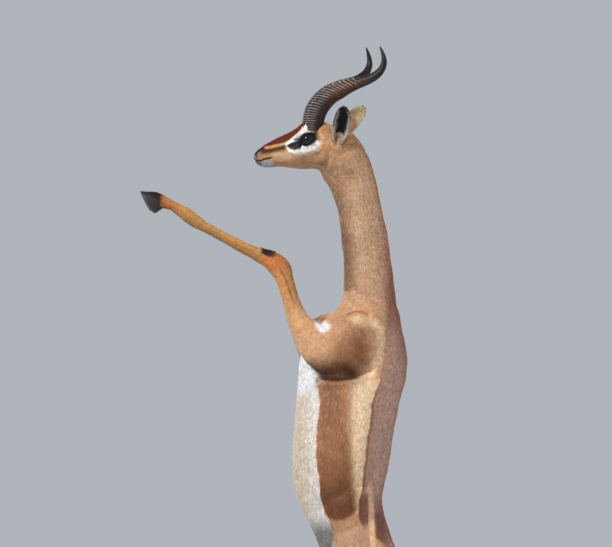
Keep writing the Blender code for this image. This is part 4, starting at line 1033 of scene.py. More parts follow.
        # painted shade in the sculpted groove down the hind cannon
        lay(LEG_GROOVE_SHADE, k * np.exp(-((fu - 0.20) / 0.18) ** 2) * smooth(st, 12.8, 13.8) * smooth(st, 17.5, 16.0) * 0.5)
        lay((164, 100, 58), k * smooth(st, 17.4, 18.6) * 0.6)
        lay((44, 28, 24), k * smooth(st, 20.3, 20.9))
        # pale rump patch round the tail's root
        rump = (trunk | hind | tail) * smooth(r, 566, 580) * smooth(r, 640, 616) * smooth(y, 0.046, 0.036) * smooth(nos[:, 0], -0.1, 0.3)
        lay((232, 224, 212), rump * 0.95)
        lay(WHITE, (hind | trunk) * smooth(r, 566, 582) * smooth(r, 690, 660) * smooth(y, 0.042, 0.028))
    if True:
        t = tail.astype(float)
        lay((170, 112, 74), t * smooth(nos[:, 0], -0.3, 0.4) * smooth(r, 586, 600))
        lay((228, 214, 198), t * smooth(-nos[:, 0], 0.1, 0.6) * smooth(r, 596, 612) * smooth(r, 690, 670))
        lay((34, 24, 22), t * smooth(r, 672, 684))
    # ---- ears: tan behind with a dark rim, black within
    for side in (-1, 1):
        base, tip, facing = ear_frame(side)
        axis = np.array((tip - base).normalized())
        length = (tip - base).length
        facing = np.array(facing.normalized())
        s = ((pts - np.array(base)) @ axis) / length
        off = pts - np.array(base) - s[:, None] * length * axis
        across = np.cross(axis, facing)
        across /= np.linalg.norm(across)
        w = off @ across
        d = off @ facing
        on = (s > 0.02) & (s < 1.1) & (np.sign(pts[:, 1]) == side) & (np.linalg.norm(off, axis=1) < 0.034) \
            & (y > 0.0405) & (c > 324) & (r < 150)
        on = on * smooth(y, 0.0405, 0.046)
        face = (nos @ facing) > 0.0
        half = (EAR_WIDTH / 2) * np.where(s < 0.5, 0.60 + 0.62 * np.sin(math.pi * s.clip(0, 1)),
                                          1.22 * np.sqrt(np.clip(1 - ((s - 0.5) / 0.518) ** 2, 0.02, 1)))
        rim = np.abs(w) / half.clip(0.003)
        out = np.minimum(1 - rim, (1.0 - s) * 2.2)
        lay((120, 92, 72), on * 1.0)
        lay((228, 192, 146), on * smooth(s, 0.55, 0.25))
        lay((255, 222, 174), on * ~face * smooth(s, 0.02, 0.22))
        lay((120, 84, 56), on * ~face * smooth(out, 0.07, 0.01) * smooth(s, 0.70, 0.95) * 0.7)
        inner = on * face
        lay((52, 35, 28), inner * smooth(s, 0.22, 0.5))
        lay((190, 182, 176), inner * np.exp(-((out - 0.21) / 0.055) ** 2) * smooth(s, 0.90, 0.78) * (0.75 + 0.3 * fleck))
        lay((206, 198, 190), inner * smooth(s, 0.42, 0.26))
        lay((5, 4, 5), inner * smooth(out + 0.05 * fleck, 0.24, 0.31) * smooth(s, 0.06, 0.14))
        lay((150, 144, 140), inner * smooth(s, 0.14, 0.28) * smooth(np.abs(s - 0.42), 0.30, 0.12) * smooth(-w / half.clip(0.003) * side, 0.35, 0.70) * 0.4)
    grain = 1.0 + 0.04 * wob + 0.05 * fleck + 0.085 * waves(pts, 0.0060, 9.0)
    return np.clip(col * grain[:, None], 0.003, 1.0)


# ---------------------------------------------------------------- horns, eyes and hooves
def new_object(name, mesh):
    made = bpy.data.objects.new(name, mesh)
    bpy.context.scene.collection.objects.link(made)
    return made


def paint(mesh, colours, name="Col"):
    """Store a linear colour for every vertex."""
    layer = mesh.attributes.new(name, "FLOAT_COLOR", "POINT")
    rgba = np.ones((len(mesh.vertices), 4), np.float32)
    rgba[:, :3] = colours
    layer.data.foreach_set("color", rgba.ravel())


def tube_mesh(name, rings):
    """A closed tube through an array of rings, capped by fans."""
    rings = np.asarray(rings)
    m, n, _ = rings.shape
    verts = np.vstack([rings.reshape(-1, 3), rings[0].mean(0), rings[-1].mean(0)])
    i, j = np.meshgrid(np.arange(m - 1), np.arange(n), indexing="ij")
    k = (j + 1) % n
    quads = np.stack([i * n + j, i * n + k, (i + 1) * n + k, (i + 1) * n + j], -1).reshape(-1, 4)
    a = np.arange(n)
    b = (a + 1) % n
    caps = np.vstack([np.stack([b, a, np.full(n, m * n)], 1),
                      np.stack([(m - 1) * n + a, (m - 1) * n + b, np.full(n, m * n + 1)], 1)])
    mesh = bpy.data.meshes.new(name)
    mesh.from_pydata(verts.tolist(), [], quads.tolist() + caps.tolist())
    bm = bmesh.new()
    bm.from_mesh(mesh)
    bmesh.ops.recalc_face_normals(bm, faces=bm.faces)
    bm.to_mesh(mesh)
    bm.free()
    mesh.shade_smooth()
    return mesh


HORN_RINGED = 0.62               # the share of the horn that its rings cover


def horn_mesh(name, side):
    path = [tuple(at(c, r, y)) + (d * UNIT, w) for c, r, y, d, w in HORN]
    rows = spline([(x, -side * y, z, d, w) for x, y, z, d, w in path], 30)
    steps = np.linalg.norm(np.diff(rows[:, :3], axis=0), axis=1)
    arc = np.concatenate([[0], np.cumsum(steps)])
    buried = arc[30]
    share = (arc - buried) / (arc[-1] - buried)
    n = 48
    ang = np.linspace(0, 2 * math.pi, n, endpoint=False)
    ahead = -np.cos(ang)             # 1 on the front of the horn, -1 behind
    rings, shade = [], []
    for i, row in enumerate(rows):
        t = Vector(rows[min(i + 1, len(rows) - 1)][:3] - rows[max(i - 1, 0)][:3]).normalized()
        u = np.array(Vector((t.z, 0.0, -t.x)).normalized())
        v = np.cross(np.array(t), u)
        cu, sv = np.cos(ang), np.sin(ang)
        cu = np.sign(cu) * np.abs(cu) ** 0.92
        sv = np.sign(sv) * np.abs(sv) ** 0.92
        # the rings slant toward the tip as they leave the front, more so higher up
        lean = 0.008 + 0.052 * float(smooth(np.array([share[i]]), 0.08, 0.36)[0])
        s = share[i] - lean * (1 - ahead)
        ringed = smooth(share[i] + 0.02 * ahead, HORN_RINGED, HORN_RINGED - 0.12)
        front = smooth(ahead, -0.35, 0.45)
        turn = 58.0 * s - 34.0 * s * s + 0.10 * np.sin(ang * 3 + 1.7 * side)
        ridge = (0.5 + 0.5 * np.cos(2 * math.pi * turn)) ** 1.6
        wear = 0.80 + 0.20 * np.sin(np.floor(turn + 0.5) * 2.4 + 2 * np.sin(ang + side))
        height = (0.0004 + 0.0019 * front) * min(1.0, 0.30 + row[4] / 0.018) * ringed * wear
        line = 0.00020 * np.sin(ang * 33 + 2 * np.sin(share[i] * 9)) * (1 - 0.7 * front)
        inset = 0.0002 + 0.0007 * ringed * front
        ru = np.maximum(row[3] - inset, 0.0003) + ridge * height + line * min(1, row[3] / 0.01)
        rv = np.maximum(row[4] - inset, 0.0003) + ridge * height + line * min(1, row[4] / 0.01)
        rings.append(row[:3] + u[None] * (ru * cu)[:, None] + v[None] * (rv * sv)[:, None])
        up = float(smooth(np.array([share[i]]), 0.16, 0.40)[0])
        tip = float(smooth(np.array([share[i]]), 0.55, 0.80)[0])
        base = np.tile(linear((34, 25, 20)), (n, 1))
        warm = (smooth(ahead, -0.85, -0.35) * smooth(ahead, 0.35, -0.05) * up * (1 - tip))[:, None]
        base = base * (1 - 0.8 * warm) + linear((74, 38, 18)) * 0.8 * warm
        under = smooth(ahead, -0.45, -0.95)[:, None]
        base = base * (1 - 0.6 * under) + linear((26, 20, 17)) * 0.6 * under
        base = base * (1 - tip) + linear((26, 21, 21)) * tip
        # painted highlight: the ridge crests are painted lighter, most toward the front of the horn; painted shade: the
        # grooves between the ridges are painted darker
        edge = smooth(ahead, -0.15 - 0.25 * up, 0.35)
        crest = linear((138, 130, 126)) * (1 - up) + linear((166, 144, 128)) * up
        faint = linear((54, 42, 34))
        lit = (ridge ** 1.1 * ringed * wear)[:, None]
        tone = faint[None] * (1 - edge[:, None]) + crest[None] * edge[:, None]
        base = base * (1 - lit * (0.35 + 0.5 * edge[:, None])) + tone * lit * (0.35 + 0.5 * edge[:, None])
        pit = ((1 - ridge) ** 2.5 * ringed * (0.3 + 0.7 * edge))[:, None]
        shade.append(base * (1 - 0.85 * pit))
    mesh = tube_mesh(name, rings)
    colours = np.vstack([np.array(shade).reshape(-1, 3), shade[0][:1], shade[-1][:1]])
    paint(mesh, colours)
    return mesh


def eye_mesh(name, side):
    """The ball with a slightly fuller clear front, its iris and its long pupil."""
    centre, out, long, across = eye_frame(side)
    rows, cols = 60, 96
    pts = []
    theta = np.linspace(0.0, math.pi, rows + 1)[1:-1]
    phi = np.linspace(0, 2 * math.pi, cols, endpoint=False)
    o, l, a = (np.array(v) for v in (out, long, across))
    for t in theta:
        radius = EYE_RADIUS - 0.0003 + 0.0011 * float(smooth(np.array([t]), 0.85, 0.25)[0])
        ring = (o[None] * math.cos(t) + math.sin(t) * (l[None] * np.cos(phi)[:, None] + a[None] * np.sin(phi)[:, None])) * radius
        pts.append(np.array(centre) + ring)
    mesh = tube_mesh(name, pts)
    co = coords(mesh) - np.array(centre)
    d = co / np.linalg.norm(co, axis=1)[:, None]
    x, z, f = d @ l, d @ a, d @ o
    r = np.sqrt(x * x + z * z)
    front = (f > 0)
    colour = np.tile(linear((12, 9, 8)), (len(co), 1))
    iris = (smooth(r, 0.72, 0.66) * front)[:, None]
    streak = 0.75 + 0.25 * np.sin(np.arctan2(z, x) * 40 + 3 * np.sin(np.arctan2(z, x) * 7))
    tone = linear((26, 16, 11))[None] * streak[:, None]
    colour = colour * (1 - iris) + tone * iris
    pupil = (smooth(np.sqrt((x / 0.50) ** 2 + (z / 0.24) ** 2), 1.06, 0.94) * front)[:, None]
    colour = colour * (1 - pupil) + linear((5, 5, 8)) * pupil
    paint(mesh, colour)
    return mesh


def claw_mesh(name, origin, side, pitch):
    """One claw of a cloven hoof, with growth rings and a rounded rim."""
    front = CLAW_SLOPE - CLAW_LENGTH * 0.76
    fall = CLAW_HEIGHT * (1 - CLAW_HEEL) / (CLAW_LENGTH - CLAW_SLOPE)
    knots = np.array([(0.0, 0.0, 1.0), (0.25, 0.006, 1.0), (0.6, 0.0130, 0.97), (1.0, CLAW_SLOPE, 0.90)])
    ups = np.concatenate([[0.0, 0.012, 0.035], np.linspace(0.07, 1.0, 30)])
    rings = []
    for up in ups:
        back, fat = np.interp(up, knots[:, 0], knots[:, 1]), np.interp(up, knots[:, 0], knots[:, 2])
        tuck = 0.0012 * float(smooth(np.array([up]), 0.04, 0.0)[0])
        grow = 0.00022 * math.sin(up * 46) * (up > 0.05)
        toe = -CLAW_LENGTH * 0.76 + back + tuck
        heel = CLAW_LENGTH * 0.24 - back * 0.10 - tuck
        ring = []
        for a in np.linspace(0, 1, 30):
            x = heel + (toe - heel) * a
            bow = math.sin(math.pi * min(1.0, a * 0.72 + 0.20)) ** 0.8
            bow = bow + (0.16 - bow) * float(smooth(np.array([a]), 0.86, 1.0)[0])
            ring.append((x, side * (CLAW_SPLIT + (CLAW_WIDTH * fat - tuck + grow) * bow),
                         up * (CLAW_HEIGHT - fall * max(0.0, x - front))))
        for a in np.linspace(0, 1, 12):
            x = toe + (heel - toe) * (0.02 + 0.94 * a)
            ring.append((x, side * (CLAW_SPLIT + tuck * 0.5 + 0.0014 * math.sin(math.pi * a) * (1 - 0.5 * up)),
                         up * (CLAW_HEIGHT - fall * max(0.0, x - front))))
        rings.append(ring)
    turn = Matrix.Translation(origin) @ Matrix.Rotation(pitch, 4, "Y")
    rings = np.array([[list(turn @ Vector(p)) for p in ring] for ring in rings])
    mesh = tube_mesh(name, rings)
    mesh.set_sharp_from_angle(angle=math.radians(55))
    level = np.concatenate([np.repeat(ups, rings.shape[1]), [0.0, 1.0]])
    low, high = linear((34, 29, 27)), linear((20, 16, 15))
    colour = low + (high - low) * level[:, None]
    colour = colour * (0.86 + 0.16 * np.sin(level * 46))[:, None]
    paint(mesh, colour)
    return mesh


def foot_places():
    """Origin and pitch of the claws of every foot."""
    legs = {"fore_left": leg_path(FORELEG), "hind_left": leg_path(HINDLEG)}
    legs["fore_right"] = far_side(legs["fore_left"], fore_swing)
    legs["hind_right"] = far_side(legs["hind_left"], hind_swing)
    out = {}
    for leg, path in legs.items():
        pitch = 0.0 if leg.startswith("hind") else math.radians(FORE_PITCH)
        middle, normal = claw_top()
        origin = Vector(path[-2][:3]) - Matrix.Rotation(pitch, 3, "Y") @ middle
        if leg.startswith("hind"):
            origin.z = BASE_THICK + GAP
        out[leg] = (origin, pitch)
    return out


# ---------------------------------------------------------------- the coat
COAT_TUFTS = 315000              # short flat tufts over the whole body
CELLS = {"trunk": (0.00, 0.00, 0.45, 0.61), "neck": (0.47, 0.00, 0.24, 0.40), "head": (0.47, 0.42, 0.32, 0.30),
         "fore_left": (0.73, 0.00, 0.12, 0.40), "fore_right": (0.87, 0.00, 0.12, 0.40),
         "hind_left": (0.00, 0.63, 0.21, 0.36), "hind_right": (0.23, 0.63, 0.21, 0.36),
         "tail": (0.81, 0.42, 0.08, 0.30)}
EAR_CELLS = {(-1, 0): (0.48, 0.75, 0.11, 0.24), (-1, 1): (0.61, 0.75, 0.11, 0.24),
             (1, 0): (0.74, 0.75, 0.11, 0.24), (1, 1): (0.87, 0.75, 0.11, 0.24)}
LENGTHS = {name: SKEL[SKEL[:, 15] == k][:, 14] for k, name in enumerate(PARTS)}


def ear_share(pts):
    """For points on an ear: side, share of its length, offset across it, else side 0."""
    side = np.zeros(len(pts), int)
    share, over = np.zeros(len(pts)), np.zeros(len(pts))
    for k in (-1, 1):
        base, tip, facing = ear_frame(k)
        axis = np.array((tip - base).normalized())
        length = (tip - base).length
        across = np.cross(axis, np.array(facing.normalized()))
        across /= np.linalg.norm(across)
        s = ((pts - np.array(base)) @ axis) / length
        off = pts - np.array(base) - s[:, None] * length * axis
        on = (s > 0.03) & (s < 1.12) & (np.sign(pts[:, 1]) == k) & (np.linalg.norm(off, axis=1) < 0.034) \
            & (np.abs(pts[:, 1]) > 0.0425)
        side[on] = k
        share[on], over[on] = s[on], (off @ across)[on]
    return side, share, over


def unwrap(pts, nos, place):
    """Each point's place on the body's own unwrap: round each part and along it."""
    uv = np.zeros((len(pts), 2))
    ang = np.arctan2(place.fv, -place.fu) / (2 * math.pi) + 0.5
    for k, name in enumerate(PARTS):
        x, y, w, h = CELLS[name]
        on = place.part == k
        lo, hi = LENGTHS[name].min(), LENGTHS[name].max()
        uv[on, 0] = x + 0.004 + (w - 0.008) * ang[on]
        uv[on, 1] = y + 0.004 + (h - 0.008) * (place.station[on] - lo) / (hi - lo)
    side, share, over = ear_share(pts)
    for (k, face), (x, y, w, h) in EAR_CELLS.items():
        facing = np.array(ear_frame(k)[2].normalized())
        on = (side == k) & (((nos @ facing) > 0) == bool(face))
        uv[on, 0] = x + w * np.clip(0.5 + over[on] / 0.052, 0.03, 0.97)
        uv[on, 1] = y + h * np.clip(share[on] / 1.12, 0.03, 0.97)
    return uv


def surface_of(mesh):
    """A mesh's triangles, points and normals, and where each triangle lies."""
    mesh.calc_loop_triangles()
    tri = np.empty(len(mesh.loop_triangles) * 3, int)
    mesh.loop_triangles.foreach_get("vertices", tri)
    tri = tri.reshape(-1, 3)
    co, no = coords(mesh), normals(mesh)
    middle = co[tri].mean(1)
    faced = no[tri].mean(1)
    return tri, co, no, middle, faced / np.linalg.norm(faced, axis=1)[:, None].clip(1e-9)


def roots(surface, count, weight):
    """Even random points of a surface, more of them where weight is higher: place and normal."""
    tri, co, no = surface[:3]
    a, b, c = co[tri[:, 0]], co[tri[:, 1]], co[tri[:, 2]]
    area = 0.5 * np.linalg.norm(np.cross(b - a, c - a), axis=1) * weight
    total = np.cumsum(area)
    pick = (np.arange(count) + RNG.random(count)) / count * total[-1]
    f = np.searchsorted(total, pick).clip(0, len(tri) - 1)
    s, t = np.sqrt(RNG.random(count)), RNG.random(count)
    w = np.stack([1 - s, s * (1 - t), s * t], 1)
    p = (co[tri[f]] * w[:, :, None]).sum(1)
    n = (no[tri[f]] * w[:, :, None]).sum(1)
    n /= np.linalg.norm(n, axis=1)[:, None].clip(1e-9)
    return p, n


def lie(p, n, place, stray=0.10):
    """The way the coat lies at points of the skin."""
    flow = place.flow.copy()
    side, share, over = ear_share(p)
    for k in (-1, 1):
        base, tip, _ = ear_frame(k)
        axis = np.array((tip - base).normalized())
        flow[side == k] = axis
    flow = flow + stray * RNG.normal(size=flow.shape)
    swirl = np.stack([waves(p, 0.09, 1.0), waves(p, 0.09, 3.0), waves(p, 0.09, 6.0)], 1)
    flow = flow + 0.14 * swirl
    flow = flow - n * (flow * n).sum(1)[:, None]
    return flow / np.linalg.norm(flow, axis=1)[:, None].clip(1e-6)


SPIKE_FACES = np.array([(0, 3, 2), (2, 3, 1), (0, 1, 3), (0, 2, 1)])


def spikes(p, n, way, length, width, lift, colour, uv, soft=0.72):
    """Closed thin tapered tufts: four points and four triangles each."""
    side = np.cross(n, way)
    side /= np.linalg.norm(side, axis=1)[:, None].clip(1e-9)
    w, l, h = (x[:, None] for x in (width, length, lift))
    count = len(p)
    v = np.empty((count, 4, 3))
    v[:, 0] = p - side * w * 0.5 - n * 0.0003
    v[:, 1] = p + side * w * 0.5 - n * 0.0003
    v[:, 2] = p + way * l * 0.28 + n * (h * 0.62 + 0.00025)
    v[:, 3] = p + way * l + n * h
    faces = SPIKE_FACES
    f = (np.arange(count)[:, None, None] * 4 + faces[None]).reshape(-1, 3)
    own = np.empty((count, 4, 3))
    own[:, 0] = -side
    own[:, 1] = side
    own[:, 2] = n
    own[:, 3] = way * 0.6 + n * 0.8
    nor = n[:, None, :] * soft + own * (1 - soft)
    nor /= np.linalg.norm(nor, axis=2)[:, :, None]
    shade = np.array([0.80, 0.80, 0.98, 1.10])[None, :, None] * colour[:, None, :]
    patch = np.array([(-1, -1), (1, -1), (0, 0), (0, 1)]) * 0.0015
    return v.reshape(-1, 3), f, nor.reshape(-1, 3), shade.reshape(-1, 3), (uv[:, None, :] + patch[None]).reshape(-1, 2)


def locks(p, n, way, length, width, lift, colour, uv, droop, tip=0.9, soft=0.6):
    """Longer closed tufts that bend: three rings of three points and a tip, sixteen triangles each."""
    side = np.cross(n, way)
    side /= np.linalg.norm(side, axis=1)[:, None].clip(1e-9)
    w, l, h = (x[:, None] for x in (width, length, lift))
    count = len(p)
    v = np.empty((count, 10, 3))
    nor = np.empty((count, 10, 3))
    for k, (s, fat) in enumerate(((0.0, 0.8), (0.35, 1.0), (0.72, 0.62))):
        mid = p + way * l * s + n * (h * math.sin(s * 1.5)) + droop * (s * s)
        v[:, 3 * k] = mid - side * w * 0.5 * fat
        v[:, 3 * k + 1] = mid + side * w * 0.5 * fat
        v[:, 3 * k + 2] = mid + n * w * 0.45 * fat
        nor[:, 3 * k], nor[:, 3 * k + 1], nor[:, 3 * k + 2] = -side, side, n
    v[:, 9] = p + way * l + n * (h * math.sin(1.5)) + droop
    nor[:, 9] = n
    faces = [(0, 1, 2)]
    for k in (0, 1):
        a, b = 3 * k, 3 * k + 3
        for i, j in ((0, 1), (1, 2), (2, 0)):
            faces += [(a + i, b + i, b + j), (a + i, b + j, a + j)]
    faces += [(6, 9, 7), (7, 9, 8), (8, 9, 6)]
    faces = np.array(faces)[:, ::-1]
    f = (np.arange(count)[:, None, None] * 10 + faces[None]).reshape(-1, 3)
    nor = n[:, None, :] * soft + nor * (1 - soft)
    nor /= np.linalg.norm(nor, axis=2)[:, :, None]
    level = np.array([0.72, 0.72, 0.72, 0.95, 0.95, 0.95, 1.02, 1.02, 1.02, 1.0 + 0.15 * tip])
    shade = level[None, :, None] * colour[:, None, :]
    patch = np.array([(-1, -1), (1, -1), (0, -1), (-1, 0), (1, 0), (0, 0), (-.6, .6), (.6, .6), (0, .6), (0, 1)]) * 0.0015
    return v.reshape(-1, 3), f, nor.reshape(-1, 3), shade.reshape(-1, 3), (uv[:, None, :] + patch[None]).reshape(-1, 2)


def coat_piece(name, data):
    v, f, nor, shade, uv = data
    mesh = bpy.data.meshes.new(name)
    mesh.vertices.add(len(v))
    mesh.vertices.foreach_set("co", v.astype(np.float32).ravel())
    mesh.loops.add(f.size)
    mesh.loops.foreach_set("vertex_index", f.astype(np.int32).ravel())
    mesh.polygons.add(len(f))
    mesh.polygons.foreach_set("loop_start", np.arange(0, f.size, 3, dtype=np.int32))
    mesh.update(calc_edges=True)
    layer = mesh.uv_layers.new(name="OFBake")
    layer.data.foreach_set("uv", np.clip(uv[f.ravel()], 0.001, 0.999).astype(np.float32).ravel())
    mesh.shade_smooth()
    mesh.normals_split_custom_set_from_vertices(nor.astype(np.float32))
    paint(mesh, np.clip(shade, 0.001, 1.0))
    return new_object(name, mesh)


def ear_axes(side):
    """Base, axis, across and facing of an ear as arrays, and its length."""
    base, tip, facing = ear_frame(side)
    axis = np.array((tip - base).normalized())
    facing = np.array(facing.normalized())
    facing = facing - axis * (facing @ axis)
    facing /= np.linalg.norm(facing)
    return np.array(base), axis, np.cross(axis, facing), facing, (tip - base).length


def horn_foot(side):
    """Where a horn leaves the head: middle, direction, the way of its depth, half depth, half width."""
    path = [tuple(at(c, r, y)) + (d * UNIT, w) for c, r, y, d, w in HORN]
    rows = spline([(x, -side * y, z, d, w) for x, y, z, d, w in path], 30)
    t = rows[40][:3] - rows[26][:3]
    t /= np.linalg.norm(t)
    u = np.array([t[2], 0.0, -t[0]])
    return rows[32][:3], t, u / np.linalg.norm(u), rows[32][3], rows[32][4]


def long_hair(surface, where):
    """The longer hair: tail end, knees, ears, horn bases, lashes. Yields name, points, normals, way,
    length, width, lift, droop and a tint and its share over the markings."""
    middle, faced = surface[3], surface[4]
    st, fu = where.station, where.fu
    down = np.array([0.0, 0.0, -1.0])

    def grow(weight, count):
        p, n = roots(surface, count, weight)
        return p, n, Place(p)

    def settle(way, n, out):
        way = way + 0.12 * RNG.normal(size=way.shape)
        way = way - n * (way * n).sum(1)[:, None]
        way /= np.linalg.norm(way, axis=1)[:, None].clip(1e-6)
        way = way + n * out
        return way / np.linalg.norm(way, axis=1)[:, None]

    # tail end
    on = where.on("tail") * smooth(where.row, 656, 684)
    p, n, spot = grow(on * 1.0, 2600)
    length = 0.026 + 0.022 * RNG.random(len(p)) * smooth(spot.row, 735, 690)
    yield ("coat_tail_end", p, n, spot, settle(spot.flow, n, 0.22), length, np.full(len(p), 0.0013), length * 0.10,
           down * 0.006, (24, 18, 17), 0.92)
    # knees
    on = where.on("fore_left", "fore_right") * smooth(fu, 0.12, 0.40) * smooth(st, 12.0, 12.5) * smooth(st, 13.5, 13.1)
    p, n, spot = grow(on, 900)
    length = 0.008 + 0.006 * RNG.random(len(p))
    yield ("coat_knees", p, n, spot, settle(spot.flow, n, 0.20), length, np.full(len(p), 0.0011), length * 0.10,
           down * 0.0, (34, 22, 18), 0.90)
    for side in (-1, 1):
        base, axis, across, facing, tall = ear_axes(side)
        off = middle - base
        s = off @ axis / tall
        w = (off - s[:, None] * tall * axis) @ across
        which, share, over = ear_share(middle)
        own = (which == side)
        inner = own & ((faced @ facing) > 0.15)
        half = (EAR_WIDTH / 2) * np.where(s < 0.5, 0.60 + 0.62 * np.sin(math.pi * s.clip(0, 1)),
                                          1.22 * np.sqrt(np.clip(1 - ((s - 0.5) / 0.518) ** 2, 0.02, 1)))
        rim = np.abs(w) / half
        tag = "left" if side < 0 else "right"
        # pale hair that lies in from the ear's two edges
        on = inner * smooth(rim, 0.62, 0.86) * smooth(s, 0.10, 0.22) * smooth(s, 0.92, 0.80)
        p, n, spot = grow(on * 1.0, 240)
        wp = ((p - base) - ((p - base) @ axis)[:, None] * axis) @ across
        way = axis[None] * 0.75 - np.sign(wp)[:, None] * across[None] * 0.75
        length = 0.005 + 0.007 * RNG.random(len(p))
        yield ("coat_ear_in_" + tag, p, n, spot, settle(way, n, 0.30), length, np.full(len(p), 0.0006), length * 0.12,
               down * 0.0, (190, 184, 178), 0.85)
        # the ear's foot is closed with dense hair
        on = (own & (s < 0.13)) | ((np.linalg.norm(off, axis=1) < 0.020) & (which == 0) & (np.sign(middle[:, 1]) == side))
        p, n, spot = grow(on * 1.0, 900)
        length = 0.006 + 0.006 * RNG.random(len(p))
        way = np.tile(axis, (len(p), 1)) + 0.25 * facing[None]
        yield ("coat_ear_foot_" + tag, p, n, spot, settle(way, n, 0.28), length, np.full(len(p), 0.0007), length * 0.10,
               down * 0.0, (206, 182, 154), 0.55)
        # hair that stands up against the horn's foot
        foot, t, u, deep, wide = horn_foot(side)
        v = np.cross(t, u)
        rel = middle - foot
        rr = np.sqrt(((rel @ u) / deep) ** 2 + ((rel @ v) / wide) ** 2)
        on = where.on("head") * (np.abs(rel @ t) < 0.022) * smooth(rr, 0.98, 1.08) * smooth(rr, 1.65, 1.30)
        p, n, spot = grow(on * 1.0, 900)
        length = 0.005 + 0.004 * RNG.random(len(p))
        yield ("coat_horn_foot_" + tag, p, n, spot, settle(np.tile(t, (len(p), 1)), n, 0.35), length,
               np.full(len(p), 0.0007), length * 0.05, down * 0.0, (160, 100, 60), 0.0)
        # lashes of the upper lid
        f, dist, a, b = opening(middle, side)
        on = (dist < 0.03) * smooth(f, 1.00, 1.04) * smooth(f, 1.16, 1.10) * (b > 0.002) * (np.sign(middle[:, 1]) == side)
        if on.sum() > 0:
            p, n, spot = grow(on * 1.0, 90)
            centre = np.array(eye_frame(side)[0])
            way = (p - centre) / np.linalg.norm(p - centre, axis=1)[:, None] + np.array([-0.15, 0.0, 0.1])
            length = 0.005 + 0.003 * RNG.random(len(p))
            yield ("coat_lashes_" + tag, p, n, spot, way / np.linalg.norm(way, axis=1)[:, None], length,
                   np.full(len(p), 0.0005), length * 0.0, down * 0.0015, (14, 12, 12), 1.0)
# ---------------------------------------------------------------- materials
def nodes_of(name, rough, spec=0.4):
    made = bpy.data.materials.new(name)
    made.use_nodes = True
    tree = made.node_tree
    shader = tree.nodes["Principled BSDF"]
    shader.inputs["Roughness"].default_value = rough
    shader.inputs["Specular IOR Level"].default_value = spec
    return made, tree, shader


def noise(tree, scale, detail=3.0, vector=None, rough=0.55):
    node = tree.nodes.new("ShaderNodeTexNoise")
    node.inputs["Scale"].default_value = scale
    node.inputs["Detail"].default_value = detail
    node.inputs["Roughness"].default_value = rough
    if vector is None:
        vector = tree.nodes.new("ShaderNodeTexCoord").outputs["Object"]
    tree.links.new(vector, node.inputs["Vector"])
    return node.outputs["Fac"]


def ranged(tree, value, lo, hi, at_lo=0.0, at_hi=1.0):
    node = tree.nodes.new("ShaderNodeMapRange")
    node.inputs["From Min"].default_value = at_lo
    node.inputs["From Max"].default_value = at_hi
    node.inputs["To Min"].default_value = lo
    node.inputs["To Max"].default_value = hi
    tree.links.new(value, node.inputs["Value"])
    return node.outputs["Result"]


def mixed(tree, a, b, factor, mode="MIX"):
    node = tree.nodes.new("ShaderNodeMix")
    node.data_type = "RGBA"
    node.blend_type = mode
    for value, socket in ((factor, node.inputs[0]), (a, node.inputs[6]), (b, node.inputs[7])):
        if hasattr(value, "default_value") or hasattr(value, "links"):
            tree.links.new(value, socket)
        elif isinstance(value, (int, float)):
            socket.default_value = value
        else:
            socket.default_value = (*value, 1.0)
    return node.outputs[2]


def attribute(tree, name):
    node = tree.nodes.new("ShaderNodeAttribute")
    node.attribute_type = "GEOMETRY"
    node.attribute_name = name
    return node


def bump(tree, shader, height, strength, distance):
    node = tree.nodes.new("ShaderNodeBump")
    node.inputs["Strength"].default_value = strength
    node.inputs["Distance"].default_value = distance
    tree.links.new(height, node.inputs["Height"])
    tree.links.new(node.outputs["Normal"], shader.inputs["Normal"])


def coat_material():
    made, tree, shader = nodes_of("coat_hair", 0.60, 0.20)
    shader.inputs["Sheen Weight"].default_value = 0.06
    shader.inputs["Sheen Roughness"].default_value = 0.45
    base = attribute(tree, "Col").outputs["Color"]
    fine = noise(tree, 420.0, 2.0)
    wide = noise(tree, 120.0, 3.0)
    tone = mixed(tree, (0.72, 0.70, 0.68), (1.22, 1.22, 1.22), ranged(tree, fine, 0.0, 1.0, 0.3, 0.7))
    base = mixed(tree, base, tone, 1.0, "MULTIPLY")
    tone = mixed(tree, (0.80, 0.78, 0.76), (1.14, 1.14, 1.14), ranged(tree, wide, 0.0, 1.0, 0.32, 0.68))
    base = mixed(tree, base, tone, 1.0, "MULTIPLY")
    tree.links.new(base, shader.inputs["Base Color"])
    tree.links.new(ranged(tree, fine, 0.48, 0.68), shader.inputs["Roughness"])
    return made


def skin_material():
    made, tree, shader = nodes_of("coat_skin", 0.62, 0.18)
    shader.inputs["Sheen Weight"].default_value = 0.05
    shader.inputs["Sheen Roughness"].default_value = 0.5
    base = attribute(tree, "Col").outputs["Color"]
    lie_at = attribute(tree, "Lie").outputs["Vector"]
    stretch = tree.nodes.new("ShaderNodeMapping")
    stretch.inputs["Scale"].default_value = (110.0, 900.0, 1.0)
    tree.links.new(lie_at, stretch.inputs["Vector"])
    hair = noise(tree, 1.0, 4.0, stretch.outputs["Vector"], 0.6)
    grain = noise(tree, 700.0, 2.0)
    tone = mixed(tree, (0.62, 0.60, 0.57), (1.12, 1.12, 1.12), ranged(tree, hair, 0.0, 1.0, 0.28, 0.72))
    base = mixed(tree, base, tone, 1.0, "MULTIPLY")
    tree.links.new(base, shader.inputs["Base Color"])
    tree.links.new(ranged(tree, hair, 0.70, 0.50), shader.inputs["Roughness"])
    height = mixed(tree, hair, grain, 0.25)
    bump(tree, shader, height, 0.55, 0.0009)
    return made


